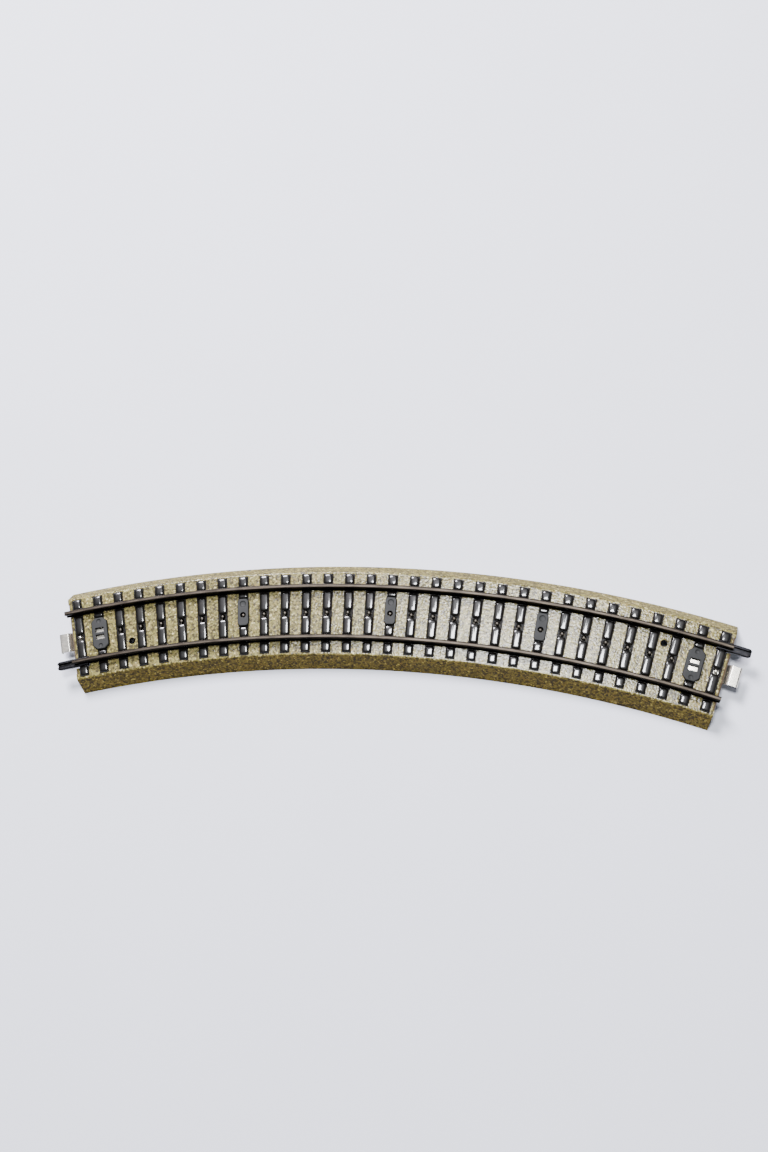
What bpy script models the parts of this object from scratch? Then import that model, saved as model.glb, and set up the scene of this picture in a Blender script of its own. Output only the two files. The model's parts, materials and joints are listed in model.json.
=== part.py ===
"""Curved section of tinplate model railway track with centre stud contacts.

A pressed sheet-steel bed carries thirty-one embossed sleepers, two folded
steel rails, and a centre contact strip that hangs under the bed in plastic
insulators.  Lengths are metres, +Z is up, the curve bulges towards +Y and
the origin is at the middle of the underside of the whole section.
"""

import math

import bmesh
import bpy
from mathutils import Vector

MM = 0.001

# Curve
CENTRE_RADIUS = 437.4 * MM          # centre line of the track
ARC = math.radians(30.0)            # angle of one section
SLEEPERS = 31
END_TO_SLEEPER = 3.1 * MM           # bed end to the middle of the first sleeper
GAP = 0.3 * MM                      # clearance between pieces that touch

# Pressed bed
BED_HEIGHT = 6.8 * MM               # base to the upper face of the sheet
BED_SHEET = 0.4 * MM
BED_HALF_TOP = 14.8 * MM
BED_SLOPE_RUN = 3.8 * MM
LIP_DEPTH = 1.1 * MM                # sheet turned down at each end
LIP_SETBACK = 0.15 * MM
LIP_MARGIN = 2.0 * MM               # lip stops this far inside the top edges

# Embossed sleepers
SLEEPER_WIDTH = 3.5 * MM
SLEEPER_MARGIN = 0.8 * MM           # bar ends stop this far inside the top edges
SLEEPER_RISE = 0.7 * MM
SLEEPER_BEVEL = 0.6 * MM
SLEEPER_RAIL_GAP = 0.35 * MM        # bar ends stop this far from the rail foot
SLEEPER_STUD_GAP = 0.1 * MM         # bar ends stop this far from a stud hole

# Rails
GAUGE = 16.5 * MM                   # between the inner faces of the heads
RAIL_HEIGHT = 2.9 * MM
RAIL_HEAD_WIDTH = 1.5 * MM
RAIL_HEAD_DEPTH = 0.75 * MM
RAIL_WEB = 0.8 * MM
RAIL_FOOT_WIDTH = 1.9 * MM
RAIL_FOOT_THICK = 0.3 * MM
RAIL_FILLET = 0.15 * MM             # foot runs up into the web
RAIL_CROWN = 0.25 * MM              # rounding of the head's upper edges
RAIL_SHEET = 0.3 * MM
RAIL_OVERHANG = 0.8 * MM            # plain rail end beyond the bed end
RAIL_SEGMENTS = 40

# Lugs that hold the rails in the bed
LUGS = 6
LUG_LENGTH = 3.0 * MM
LUG_SHEET = 0.3 * MM
LUG_INSET = 0.2 * MM                # lug edge from the edge of the foot
LUG_FOLD = 1.5 * MM

# Rail joiners
JOINER_SHEET = 0.3 * MM
JOINER_REACH = 6.2 * MM             # beyond the bed end
JOINER_GRIP = 5.0 * MM              # along the rail inside the bed end
JOINER_TIP = 1.3 * MM               # length over which the end tapers
JOINER_TAPER = 0.45 * MM            # narrowing of each side at the very tip
JOINER_TIP_DROP = 0.2 * MM

# Centre contact
STRIP_WIDTH = 5.4 * MM
STRIP_SHEET = 0.4 * MM
STRIP_DROP = 1.8 * MM               # underside of the bed to the strip
STUD_DIAMETER = 1.1 * MM
STUD_CLEARANCE = 0.45 * MM          # air round a stud in its hole
STUD_PROUD = 0.2 * MM               # stud top above the sleeper tops

# End contacts
PLATE_START = 2.2 * MM              # inwards from the bed end
STRIP_OVERLAP = 2.6 * MM            # strip and plate lie over each other at their rivet
RIVET_SHANK = 1.2 * MM
RIVET_HEAD = 2.2 * MM
RIVET_HEAD_THICK = 0.4 * MM
PAD_LENGTH = 3.6 * MM               # raised contact pad under the windows
PAD_BRIDGE = 0.3 * MM               # bed left between the pad's opening and a leg slot
PAD_BELOW_BED_TOP = 0.05 * MM

# Contact springs
SPRING_WIDTH = 6.8 * MM
SPRING_SHEET = 0.3 * MM
SPRING_REACH = 5.2 * MM             # beyond the bed end
SPRING_FLAT = 2.7 * MM
SPRING_RISE = 1.3 * MM              # flat of the spring above its tail
SPRING_OFFSET = 0.5 * MM            # towards the rail that carries the joiner
SPRING_RAMP_START = 0.2 * MM        # leaf leaves the level this far past the bed end
SPRING_EASE = 0.5 * MM              # rounding where the ramp meets the flat
SPRING_NOSE = 0.75 * MM             # curl past the flat
SPRING_CURL_DROP = 1.9 * MM         # tip of the curl below the flat
SPRING_TAIL_CLEARANCE = 0.8 * MM    # tail to the legs of the end insulator

# Insulators
INSULATED_SLEEPERS = (9, 16, 23)
MID_WIDTH = 4.0 * MM
MID_LENGTH = 9.75 * MM
MID_MARGIN = 0.1 * MM               # inner end past the leg
MID_CHAMFER = 0.8 * MM
END_WIDTH = 5.9 * MM
END_LENGTH = 11.6 * MM
END_CHAMFER = 1.5 * MM
PLATE_THICK = 0.9 * MM
WINDOW_WIDTH = 3.1 * MM
WINDOW_BAR = 0.8 * MM
LEG_THICK = 0.75 * MM
LEG_WIDTH = 2.4 * MM
HOOK_REACH = 0.9 * MM               # hook under the edge of the strip
HOOK_THICK = 0.7 * MM

# Nail holes
NAIL_HOLE = 2.5 * MM
NAIL_CLEARANCE = 0.55 * MM          # nail to the edge of the strip
NAIL_AFTER = 3                      # hole lies half a pitch past this sleeper

LEFT = -1
RIGHT = 1

HALF_ARC = ARC / 2.0
PITCH = (ARC - 2.0 * END_TO_SLEEPER / CENTRE_RADIUS) / (SLEEPERS - 1)
BED_HALF_BASE = BED_HALF_TOP + BED_SLOPE_RUN
BED_UNDER = BED_HEIGHT - BED_SHEET
SLEEPER_HALF_LENGTH = BED_HALF_TOP - SLEEPER_MARGIN
RAIL_OFFSET = (GAUGE + RAIL_HEAD_WIDTH) / 2.0
FOOT_Z = BED_HEIGHT + GAP
STRIP_TOP = BED_UNDER - STRIP_DROP
STRIP_BOTTOM = STRIP_TOP - STRIP_SHEET
PLATE_BOTTOM = STRIP_TOP + GAP
PLATE_TOP = PLATE_BOTTOM + STRIP_SHEET
STUD_TOP = BED_HEIGHT + SLEEPER_RISE + STUD_PROUD
STUD_HOLE = STUD_DIAMETER + 2.0 * STUD_CLEARANCE
JOINER_WIDTH = RAIL_FOOT_WIDTH + 2.0 * (GAP + JOINER_SHEET)
LEG_INNER = STRIP_WIDTH / 2.0 + GAP
LEG_OUTER = LEG_INNER + LEG_THICK
MID_INNER = LEG_OUTER + MID_MARGIN
MID_OUTER = MID_LENGTH - MID_INNER
PAD_OPENING_HALF = STRIP_WIDTH / 2.0 - PAD_BRIDGE
PAD_HALF = PAD_OPENING_HALF - GAP
NAIL_OFFSET = STRIP_WIDTH / 2.0 + NAIL_CLEARANCE + NAIL_HOLE / 2.0
SLEEPER_STEP = PITCH * CENTRE_RADIUS
SECOND_SLEEPER_AT = END_TO_SLEEPER + SLEEPER_STEP
SPRING_RIVET_AT = END_TO_SLEEPER + SLEEPER_STEP / 2.0
SPRING_TAIL = SECOND_SLEEPER_AT - LEG_WIDTH / 2.0 - SPRING_TAIL_CLEARANCE
STRIP_RIVET_AT = SECOND_SLEEPER_AT + SLEEPER_STEP / 2.0
STRIP_START = STRIP_RIVET_AT - STRIP_OVERLAP / 2.0
PLATE_END = STRIP_RIVET_AT + STRIP_OVERLAP / 2.0


# ---------------------------------------------------------------- places

def on_curve(angle, offset, height):
    """Point at an angle round the curve and an offset outwards from its centre line."""
    radius = CENTRE_RADIUS + offset
    return Vector((radius * math.sin(angle), radius * math.cos(angle) - CENTRE_RADIUS, height))


def sleeper_angle(number):
    """Angle of a sleeper, counted from 1 at the left end."""
    return (number - (SLEEPERS + 1) / 2.0) * PITCH


def inside_end(side, distance):
    """Angle at a distance along the centre line inwards from a bed end."""
    return side * (HALF_ARC - distance / CENTRE_RADIUS)


def past_end(side, out, offset, height):
    """Point on the straight line that carries the curve on past a bed end."""
    angle = side * HALF_ARC
    along = Vector((side * math.cos(angle), -side * math.sin(angle), 0.0))
    return on_curve(angle, offset, height) + out * along


# ------------------------------------------------------------ mesh makers

def finish(name, colour, roughness, metallic):
    """Principled material of one piece."""
    material = bpy.data.materials.new(name)
    material.use_nodes = True
    shader = material.node_tree.nodes["Principled BSDF"]
    shader.inputs["Base Color"].default_value = (*colour, 1.0)
    shader.inputs["Roughness"].default_value = roughness
    shader.inputs["Metallic"].default_value = metallic
    return material


def add_object(name, mesh_data, material=None):
    """Closed mesh, faces pointing out, linked into the scene."""
    bmesh.ops.recalc_face_normals(mesh_data, faces=mesh_data.faces)
    mesh = bpy.data.meshes.new(name)
    mesh_data.to_mesh(mesh)
    mesh_data.free()
    obj = bpy.data.objects.new(name, mesh)
    bpy.context.scene.collection.objects.link(obj)
    if material is not None:
        mesh.materials.append(material)
    return obj


def loft(mesh_data, rings):
    """Skin a row of equal rings and close both ends."""
    rows = [[mesh_data.verts.new(point) for point in ring] for ring in rings]
    count = len(rows[0])
    for lower, upper in zip(rows, rows[1:]):
        for i in range(count):
            j = (i + 1) % count
            mesh_data.faces.new((lower[i], lower[j], upper[j], upper[i]))
    mesh_data.faces.new(rows[0])
    mesh_data.faces.new(rows[-1])


def box_on_curve(mesh_data, angle, half_length, offset_low, offset_high, low, high, segments=1):
    """Block that follows the curve between two offsets and two heights."""
    half_angle = half_length / CENTRE_RADIUS
    rings = []
    for step in range(segments + 1):
        at = angle - half_angle + 2.0 * half_angle * step / segments
        corners = ((offset_low, low), (offset_high, low), (offset_high, high), (offset_low, high))
        rings.append([on_curve(at, offset, height) for offset, height in corners])
    loft(mesh_data, rings)


def plate_on_curve(mesh_data, angle, outline, low, high):
    """Flat plate with an outline of (along, offset) points, square to one sleeper."""
    centre = on_curve(angle, 0.0, 0.0)
    along = Vector((math.cos(angle), -math.sin(angle), 0.0))
    out = Vector((math.sin(angle), math.cos(angle), 0.0))
    rings = []
    for height in (low, high):
        rise = Vector((0.0, 0.0, height))
        rings.append([centre + a * along + o * out + rise for a, o in outline])
    loft(mesh_data, rings)


def profile_on_curve(mesh_data, angle, profile, half_length):
    """Profile of (offset, height) points drawn straight along one sleeper's width."""
    centre = on_curve(angle, 0.0, 0.0)
    along = Vector((math.cos(angle), -math.sin(angle), 0.0))
    out = Vector((math.sin(angle), math.cos(angle), 0.0))
    rings = []
    for shift in (-half_length, half_length):
        rings.append([centre + shift * along + o * out + Vector((0.0, 0.0, h)) for o, h in profile])
    loft(mesh_data, rings)


def turned(mesh_data, centre, profile, sides=10):
    """Solid turned about an upright axis from (radius, height) points, bottom to top."""
    rings = []
    for radius, height in profile:
        ring = []
        for i in range(sides):
            turn = 2.0 * math.pi * i / sides
            ring.append(centre + Vector((radius * math.cos(turn), radius * math.sin(turn), height)))
        rings.append(ring)
    loft(mesh_data, rings)


def chamfered(low_a, high_a, low_o, high_o, cut):
    """Rectangle of (along, offset) points with its four corners cut off."""
    return (
        (low_a + cut, low_o), (high_a - cut, low_o), (high_a, low_o + cut), (high_a, high_o - cut),
        (high_a - cut, high_o), (low_a + cut, high_o), (low_a, high_o - cut), (low_a, low_o + cut),
    )


def rectangle(half_a, low_o, high_o):
    """Rectangle of (along, offset) points, centred along the track."""
    return ((-half_a, low_o), (half_a, low_o), (half_a, high_o), (-half_a, high_o))


def combine(target, tool_mesh, operation, name):
    """Join closed shapes to a piece, or cut them out of it."""
    tool = add_object(name, tool_mesh)
    tool.hide_render = True
    tool.display_type = "WIRE"
    modifier = target.modifiers.new(name, "BOOLEAN")
    modifier.operation = operation
    modifier.solver = "EXACT"
    modifier.object = tool


def smooth(obj, degrees=40.0):
    """Shade a round piece smooth but keep its real edges."""
    obj.data.shade_smooth()
    obj.data.set_sharp_from_angle(angle=math.radians(degrees))


# ---------------------------------------------------------------- the bed

def bar_spans(number):
    """Radial spans of the embossed bars of one sleeper, inner end first."""
    near_foot = RAIL_OFFSET - RAIL_FOOT_WIDTH / 2.0 - SLEEPER_RAIL_GAP
    past_foot = RAIL_OFFSET + RAIL_FOOT_WIDTH / 2.0 + SLEEPER_RAIL_GAP
    outer_stop = STUD_HOLE / 2.0 + SLEEPER_STUD_GAP
    inner_stop = -outer_stop
    if number in INSULATED_SLEEPERS:
        inner_stop = -MID_INNER - GAP
        outer_stop = MID_OUTER + GAP
    if number in (2, SLEEPERS - 1):
        inner_stop = -END_LENGTH / 2.0 - GAP
        outer_stop = END_LENGTH / 2.0 + GAP
    return (
        (-SLEEPER_HALF_LENGTH, -past_foot),
        (-near_foot, inner_stop),
        (outer_stop, near_foot),
        (past_foot, SLEEPER_HALF_LENGTH),
    )


def bed_stations():
    """Cross lines of the bed: (angle, number of the sleeper it edges, None at a bed end)."""
    half_width = SLEEPER_WIDTH / 2.0 / CENTRE_RADIUS
    stations = [(-HALF_ARC, None)]
    for number in range(1, SLEEPERS + 1):
        stations.append((sleeper_angle(number) - half_width, number))
        stations.append((sleeper_angle(number) + half_width, number))
    stations.append((HALF_ARC, None))
    return stations


def make_bed(material):
    """Pressed trough with its embossed sleepers, turned-down ends and openings."""
    mesh_data = bmesh.new()
    slope_angle = math.atan2(BED_HEIGHT, BED_SLOPE_RUN)
    wall_run = BED_SHEET / math.sin(slope_angle)
    under_half = BED_HALF_BASE - wall_run - BED_SLOPE_RUN * BED_UNDER / BED_HEIGHT

    def across(angle, offsets, height):
        return [mesh_data.verts.new(on_curve(angle, offset, height)) for offset in offsets]

    stations = bed_stations()
    tops = []
    skirts = []
    for angle, number in stations:
        offsets = [-BED_HALF_TOP]
        if number is not None:
            offsets += [value for span in bar_spans(number) for value in span]
        offsets.append(BED_HALF_TOP)
        tops.append(across(angle, offsets, BED_HEIGHT))
        outer_foot = across(angle, (-BED_HALF_BASE, BED_HALF_BASE), 0.0)
        inner_foot = across(angle, (-BED_HALF_BASE + wall_run, BED_HALF_BASE - wall_run), 0.0)
        under = across(angle, (-under_half, under_half), BED_UNDER)
        skirts.append((outer_foot, inner_foot, under))

    for i in range(len(tops) - 1):
        here, there = tops[i], tops[i + 1]
        same_sleeper = stations[i][1] is not None and stations[i][1] == stations[i + 1][1]
        if same_sleeper:
            raise_sleeper(mesh_data, here, there, stations[i], stations[i + 1])
        else:
            mesh_data.faces.new(here + there[::-1])
        outer_a, inner_a, under_a = skirts[i]
        outer_b, inner_b, under_b = skirts[i + 1]
        for end, edge in ((0, 0), (1, -1)):
            mesh_data.faces.new((here[edge], there[edge], outer_b[end], outer_a[end]))
            mesh_data.faces.new((outer_a[end], outer_b[end], inner_b[end], inner_a[end]))
            mesh_data.faces.new((inner_a[end], inner_b[end], under_b[end], under_a[end]))
        mesh_data.faces.new((under_a[0], under_b[0], under_b[1], under_a[1]))
    for index in (0, -1):
        outer, inner, under = skirts[index]
        top = tops[index]
        mesh_data.faces.new([outer[0]] + top + [outer[1], inner[1], under[1], under[0], inner[0]])

    bed = add_object("track_bed", mesh_data, material)
    combine(bed, end_lips(), "UNION", "shape_end_lips")
    combine(bed, bed_openings(), "DIFFERENCE", "cut_bed_openings")
    return bed


def raise_sleeper(mesh_data, here, there, first, second):
    """Fill the strip under one sleeper and stand its chamfered bars on it."""
    spans = bar_spans(first[1])
    bars = {1 + 2 * k: spans[k] for k in range(len(spans))}
    for k in range(len(here) - 1):
        ring = (here[k], here[k + 1], there[k + 1], there[k])
        if k not in bars:
            mesh_data.faces.new(ring)
            continue
        low, high = bars[k]
        bevel = min(SLEEPER_BEVEL, (high - low) / 3.0)
        bevel_angle = bevel / CENTRE_RADIUS
        crown = []
        for angle, offset in (
            (first[0] + bevel_angle, low + bevel),
            (first[0] + bevel_angle, high - bevel),
            (second[0] - bevel_angle, high - bevel),
            (second[0] - bevel_angle, low + bevel),
        ):
            crown.append(mesh_data.verts.new(on_curve(angle, offset, BED_HEIGHT + SLEEPER_RISE)))
        for i in range(4):
            j = (i + 1) % 4
            mesh_data.faces.new((ring[i], ring[j], crown[j], crown[i]))
        mesh_data.faces.new(crown)


def end_lips():
    """Sheet turned down across both ends of the bed."""
    mesh_data = bmesh.new()
    for side in (LEFT, RIGHT):
        middle = inside_end(side, LIP_SETBACK + BED_SHEET / 2.0)
        half = BED_HALF_TOP - LIP_MARGIN
        low = BED_UNDER - LIP_DEPTH
        high = BED_UNDER + BED_SHEET / 2.0
        box_on_curve(mesh_data, middle, BED_SHEET / 2.0, -half, half, low, high)
    return mesh_data


def lug_angles():
    """Angles of the rail lugs, midway between sleepers."""
    gaps = SLEEPERS - 1
    return [(-gaps / 2.0 + gaps * (k + 0.5) / LUGS) * PITCH for k in range(LUGS)]


def lug_reach(lead):
    """Radial extent of a lug from the middle of its rail, on the side away from the centre."""
    outer = RAIL_FOOT_WIDTH / 2.0 - LUG_INSET
    return tuple(sorted((lead * outer, lead * (outer - LUG_SHEET))))


def bed_openings():
    """Everything cut through the bed, each cut clear of the piece that goes through it."""
    mesh_data = bmesh.new()
    low = BED_UNDER - GAP
    high = BED_HEIGHT + GAP
    for number in stud_sleepers() + [1, SLEEPERS]:
        centre = on_curve(sleeper_angle(number), 0.0, 0.0)
        turned(mesh_data, centre, ((STUD_HOLE / 2.0, low), (STUD_HOLE / 2.0, high)))
    for number in INSULATED_SLEEPERS:
        cut_leg_slots(mesh_data, sleeper_angle(number), low, high)
    for number in (2, SLEEPERS - 1):
        angle = sleeper_angle(number)
        cut_leg_slots(mesh_data, angle, low, high)
        outline = rectangle(PAD_LENGTH / 2.0 + GAP, -PAD_OPENING_HALF, PAD_OPENING_HALF)
        plate_on_curve(mesh_data, angle, outline, low, high)
    for lead in (LEFT, RIGHT):
        near, far = lug_reach(lead)
        for angle in lug_angles():
            middle = lead * RAIL_OFFSET
            box_on_curve(mesh_data, angle, LUG_LENGTH / 2.0 + GAP,
                         middle + near - GAP, middle + far + GAP, low, high)
    for side in (LEFT, RIGHT):
        angle = side * (HALF_ARC - END_TO_SLEEPER / CENTRE_RADIUS - (NAIL_AFTER - 0.5) * PITCH)
        centre = on_curve(angle, side * NAIL_OFFSET, 0.0)
        turned(mesh_data, centre, ((NAIL_HOLE / 2.0, low), (NAIL_HOLE / 2.0, high)), 16)
        half = JOINER_WIDTH / 2.0 + GAP
        middle = side * RAIL_OFFSET
        length = JOINER_GRIP + 2.0 * GAP
        box_on_curve(mesh_data, inside_end(side, length / 2.0 - GAP), length / 2.0 + GAP,
                     middle - half, middle + half, low - LIP_DEPTH, high + SLEEPER_RISE)
    return mesh_data


def cut_leg_slots(mesh_data, angle, low, high):
    """Two slots for the legs of one insulator."""
    near = LEG_INNER - GAP
    far = LEG_OUTER + GAP
    for sign in (-1, 1):
        span = sorted((sign * near, sign * far))
        plate_on_curve(mesh_data, angle, rectangle(LEG_WIDTH / 2.0 + GAP, *span), low, high)


# -------------------------------------------------------------- the rails

def rail_profile():
    """Folded rail section: (offset from its middle, height), with the slot left by the fold."""
    foot = RAIL_FOOT_WIDTH / 2.0
    web = RAIL_WEB / 2.0
    head = RAIL_HEAD_WIDTH / 2.0
    slot = web - RAIL_SHEET
    neck = RAIL_HEIGHT - RAIL_HEAD_DEPTH
    flare = head - web
    half = [
        (slot, 0.0), (foot, 0.0), (foot, RAIL_FOOT_THICK), (web, RAIL_FOOT_THICK + RAIL_FILLET),
        (web, neck - flare), (head, neck), (head, RAIL_HEIGHT - RAIL_CROWN),
        (head - RAIL_CROWN, RAIL_HEIGHT),
    ]
    inside = [
        (head - RAIL_SHEET, RAIL_HEIGHT - RAIL_SHEET - RAIL_CROWN / 2.0),
        (head - RAIL_SHEET, neck),
        (slot, neck - flare),
    ]
    outer = [(o, FOOT_Z + h) for o, h in half]
    mirrored = [(-o, h) for o, h in reversed(outer)]
    cavity = [(o, FOOT_Z + h) for o, h in inside]
    cavity_left = [(-o, h) for o, h in cavity]
    return outer + mirrored + cavity_left[::-1] + cavity


def make_rail(name, lead, material):
    """Rail along the whole curve with its lugs; lead is +1 for the outer rail."""
    mesh_data = bmesh.new()
    middle = lead * RAIL_OFFSET
    profile = rail_profile()
    reach = RAIL_OVERHANG / (CENTRE_RADIUS + middle)
    start = -HALF_ARC - (reach if lead == RIGHT else 0.0)
    stop = HALF_ARC + (reach if lead == LEFT else 0.0)
    rings = []
    for step in range(RAIL_SEGMENTS + 1):
        angle = start + (stop - start) * step / RAIL_SEGMENTS
        rings.append([on_curve(angle, middle + offset, height) for offset, height in profile])
    loft(mesh_data, rings)
    rail = add_object(name, mesh_data, material)

    lugs = bmesh.new()
    near, far = lug_reach(lead)
    fold_top = BED_UNDER - GAP
    fold_end = lead * (max(abs(near), abs(far)) - LUG_SHEET + LUG_FOLD)
    outer_face = near if lead == LEFT else far
    inner_face = far if lead == LEFT else near
    for angle in lug_angles():
        outline = [
            (middle + inner_face, FOOT_Z + RAIL_FOOT_THICK / 2.0),
            (middle + outer_face, FOOT_Z + RAIL_FOOT_THICK / 2.0),
            (middle + outer_face, fold_top),
            (middle + fold_end, fold_top),
            (middle + fold_end, fold_top - LUG_SHEET),
            (middle + inner_face, fold_top - LUG_SHEET),
        ]
        profile_on_curve(lugs, angle, outline, LUG_LENGTH / 2.0)
    combine(rail, lugs, "UNION", "shape_lugs_" + name)
    return rail


def joiner_section(half, top, lip):
    """Open channel: (offset, height) points, with lips turned in over the rail foot."""
    floor = FOOT_Z - GAP
    bottom = floor - JOINER_SHEET
    under_lip = top - JOINER_SHEET
    inner = half - JOINER_SHEET
    round_off = JOINER_SHEET * 0.8
    side = [
        (half - round_off, bottom), (half, bottom + round_off), (half, top - round_off),
        (half - round_off, top), (lip, top), (lip, under_lip), (inner, under_lip), (inner, floor),
    ]
    left = [(-o, h) for o, h in reversed(side)]
    return side + left


def make_joiner(name, side, material):
    """Channel gripping the rail foot and standing out past the bed end."""
    mesh_data = bmesh.new()
    middle = side * RAIL_OFFSET
    half = JOINER_WIDTH / 2.0
    top = FOOT_Z + RAIL_FOOT_THICK + GAP + JOINER_SHEET
    lip = RAIL_WEB / 2.0 + GAP
    stations = (
        (-JOINER_GRIP, half, top, lip),
        (JOINER_REACH - JOINER_TIP, half, top, lip),
        (JOINER_REACH - JOINER_TIP * 0.4, half - JOINER_TAPER * 0.25, top, lip * 0.85),
        (JOINER_REACH, half - JOINER_TAPER, top - JOINER_TIP_DROP, lip * 0.6),
    )
    rings = []
    for out, width, height, edge in stations:
        points = joiner_section(width, height, edge)
        rings.append([past_end(side, out, middle + o, h) for o, h in points])
    loft(mesh_data, rings)
    return add_object(name, mesh_data, material)


# ------------------------------------------------------ the centre contact

def stud_sleepers():
    """Sleepers whose stud stands on the long strip."""
    return list(range(3, SLEEPERS - 1))


def stud_shape(mesh_data, centre, base):
    """Round-topped contact stud."""
    radius = STUD_DIAMETER / 2.0
    profile = ((radius, base), (radius, STUD_TOP - radius * 0.5), (radius * 0.55, STUD_TOP))
    turned(mesh_data, centre, profile, 8)


def rivet_hole(mesh_data, centre, low, high):
    """Clearance hole for a rivet shank."""
    radius = RIVET_SHANK / 2.0 + GAP
    turned(mesh_data, centre, ((radius, low - GAP), (radius, high + GAP)))


def make_strip(material):
    """Long contact strip under the bed with a stud for each sleeper between the ends."""
    mesh_data = bmesh.new()
    half_length = CENTRE_RADIUS * HALF_ARC - STRIP_START
    half = STRIP_WIDTH / 2.0
    box_on_curve(mesh_data, 0.0, half_length, -half, half, STRIP_BOTTOM, STRIP_TOP, SLEEPERS - 3)
    strip = add_object("contact_strip", mesh_data, material)
    studs = bmesh.new()
    for number in stud_sleepers():
        centre = on_curve(sleeper_angle(number), 0.0, 0.0)
        stud_shape(studs, centre, (STRIP_BOTTOM + STRIP_TOP) / 2.0)
    combine(strip, studs, "UNION", "shape_strip_studs")
    holes = bmesh.new()
    for side in (LEFT, RIGHT):
        centre = on_curve(inside_end(side, STRIP_RIVET_AT), 0.0, 0.0)
        rivet_hole(holes, centre, STRIP_BOTTOM, STRIP_TOP)
    combine(strip, holes, "DIFFERENCE", "cut_strip_rivets")
    return strip


def make_contact_plate(name, side, material):
    """End plate: joins strip to spring and rises into a pad under the insulator windows."""
    mesh_data = bmesh.new()
    middle = inside_end(side, (PLATE_START + PLATE_END) / 2.0)
    half = STRIP_WIDTH / 2.0
    box_on_curve(mesh_data, middle, (PLATE_END - PLATE_START) / 2.0, -half, half,
                 PLATE_BOTTOM, PLATE_TOP, 2)
    plate = add_object(name, mesh_data, material)
    raised = bmesh.new()
    number = 2 if side == LEFT else SLEEPERS - 1
    base = (PLATE_BOTTOM + PLATE_TOP) / 2.0
    outline = rectangle(PAD_LENGTH / 2.0, -PAD_HALF, PAD_HALF)
    plate_on_curve(raised, sleeper_angle(number), outline, base, BED_HEIGHT - PAD_BELOW_BED_TOP)
    stud_shape(raised, on_curve(inside_end(side, END_TO_SLEEPER), 0.0, 0.0), base)
    combine(plate, raised, "UNION", "shape_pad_" + name)
    holes = bmesh.new()
    rivet_hole(holes, on_curve(inside_end(side, STRIP_RIVET_AT), 0.0, 0.0), PLATE_BOTTOM, PLATE_TOP)
    rivet_hole(holes, past_end(side, -SPRING_RIVET_AT, 0.0, 0.0), PLATE_BOTTOM, PLATE_TOP)
    combine(plate, holes, "DIFFERENCE", "cut_rivets_" + name)
    return plate


def spring_path():
    """Middle line of the leaf: (distance beyond the bed end, height), tail first."""
    low = STRIP_TOP - SPRING_SHEET / 2.0
    top = low + SPRING_RISE
    flat_end = SPRING_REACH - SPRING_NOSE
    flat_start = flat_end - SPRING_FLAT
    return (
        (-SPRING_TAIL, low),
        (SPRING_RAMP_START, low),
        (flat_start - SPRING_EASE, top - SPRING_EASE * 0.7),
        (flat_start, top),
        (flat_end, top),
        (flat_end + SPRING_NOSE * 0.67, top - SPRING_CURL_DROP * 0.16),
        (flat_end + SPRING_NOSE * 0.8, top - SPRING_CURL_DROP * 0.53),
        (flat_end + SPRING_NOSE * 0.33, top - SPRING_CURL_DROP),
    )


def leaf_outline(path, thickness):
    """Both faces of a bent leaf, as one closed outline."""
    upper = []
    lower = []
    for i, (along, height) in enumerate(path):
        before = path[max(i - 1, 0)]
        after = path[min(i + 1, len(path) - 1)]
        direction = Vector((after[0] - before[0], after[1] - before[1])).normalized()
        normal = Vector((-direction.y, direction.x)) * thickness / 2.0
        upper.append((along + normal.x, height + normal.y))
        lower.append((along - normal.x, height - normal.y))
    return upper + lower[::-1]


def make_spring(name, side, material):
    """Contact leaf, with its origin on the line about which it flexes."""
    pivot = past_end(side, -SPRING_RIVET_AT, side * SPRING_OFFSET, STRIP_TOP - SPRING_SHEET / 2.0)
    mesh_data = bmesh.new()
    outline = leaf_outline(spring_path(), SPRING_SHEET)
    rings = []
    for edge in (-SPRING_WIDTH / 2.0, SPRING_WIDTH / 2.0):
        offset = side * SPRING_OFFSET + edge
        rings.append([past_end(side, a, offset, h) - pivot for a, h in outline])
    loft(mesh_data, rings)
    spring = add_object(name, mesh_data, material)
    spring.location = pivot
    hole = bmesh.new()
    rivet_hole(hole, past_end(side, -SPRING_RIVET_AT, 0.0, 0.0), STRIP_TOP - SPRING_SHEET, STRIP_TOP)
    combine(spring, hole, "DIFFERENCE", "cut_rivet_" + name)
    return spring


def make_rivet(name, centre, low, high, material):
    """Rivet with a head above and a head below what it holds."""
    mesh_data = bmesh.new()
    shank = RIVET_SHANK / 2.0
    head = RIVET_HEAD / 2.0
    bottom = low - GAP
    top = high + GAP
    profile = (
        (head * 0.6, bottom - RIVET_HEAD_THICK), (head, bottom - RIVET_HEAD_THICK * 0.4),
        (head, bottom), (shank, bottom), (shank, top), (head, top),
        (head, top + RIVET_HEAD_THICK * 0.4), (head * 0.6, top + RIVET_HEAD_THICK),
    )
    turned(mesh_data, centre, profile, 12)
    rivet = add_object(name, mesh_data, material)
    smooth(rivet)
    return rivet


# ---------------------------------------------------------- the insulators

def staple_profile(hook_top):
    """Insulator seen along the track: a bar across the plate and two hooked legs."""
    top = BED_HEIGHT + GAP + PLATE_THICK / 2.0
    under = BED_HEIGHT + GAP + PLATE_THICK / 4.0
    hook_bottom = hook_top - HOOK_THICK
    hook = LEG_INNER - HOOK_REACH
    right = [
        (LEG_INNER, under), (LEG_INNER, hook_top), (hook, hook_top), (hook, hook_bottom),
        (LEG_OUTER, hook_bottom), (LEG_OUTER, top),
    ]
    left = [(-o, h) for o, h in reversed(right)]
    return right + left


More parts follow.
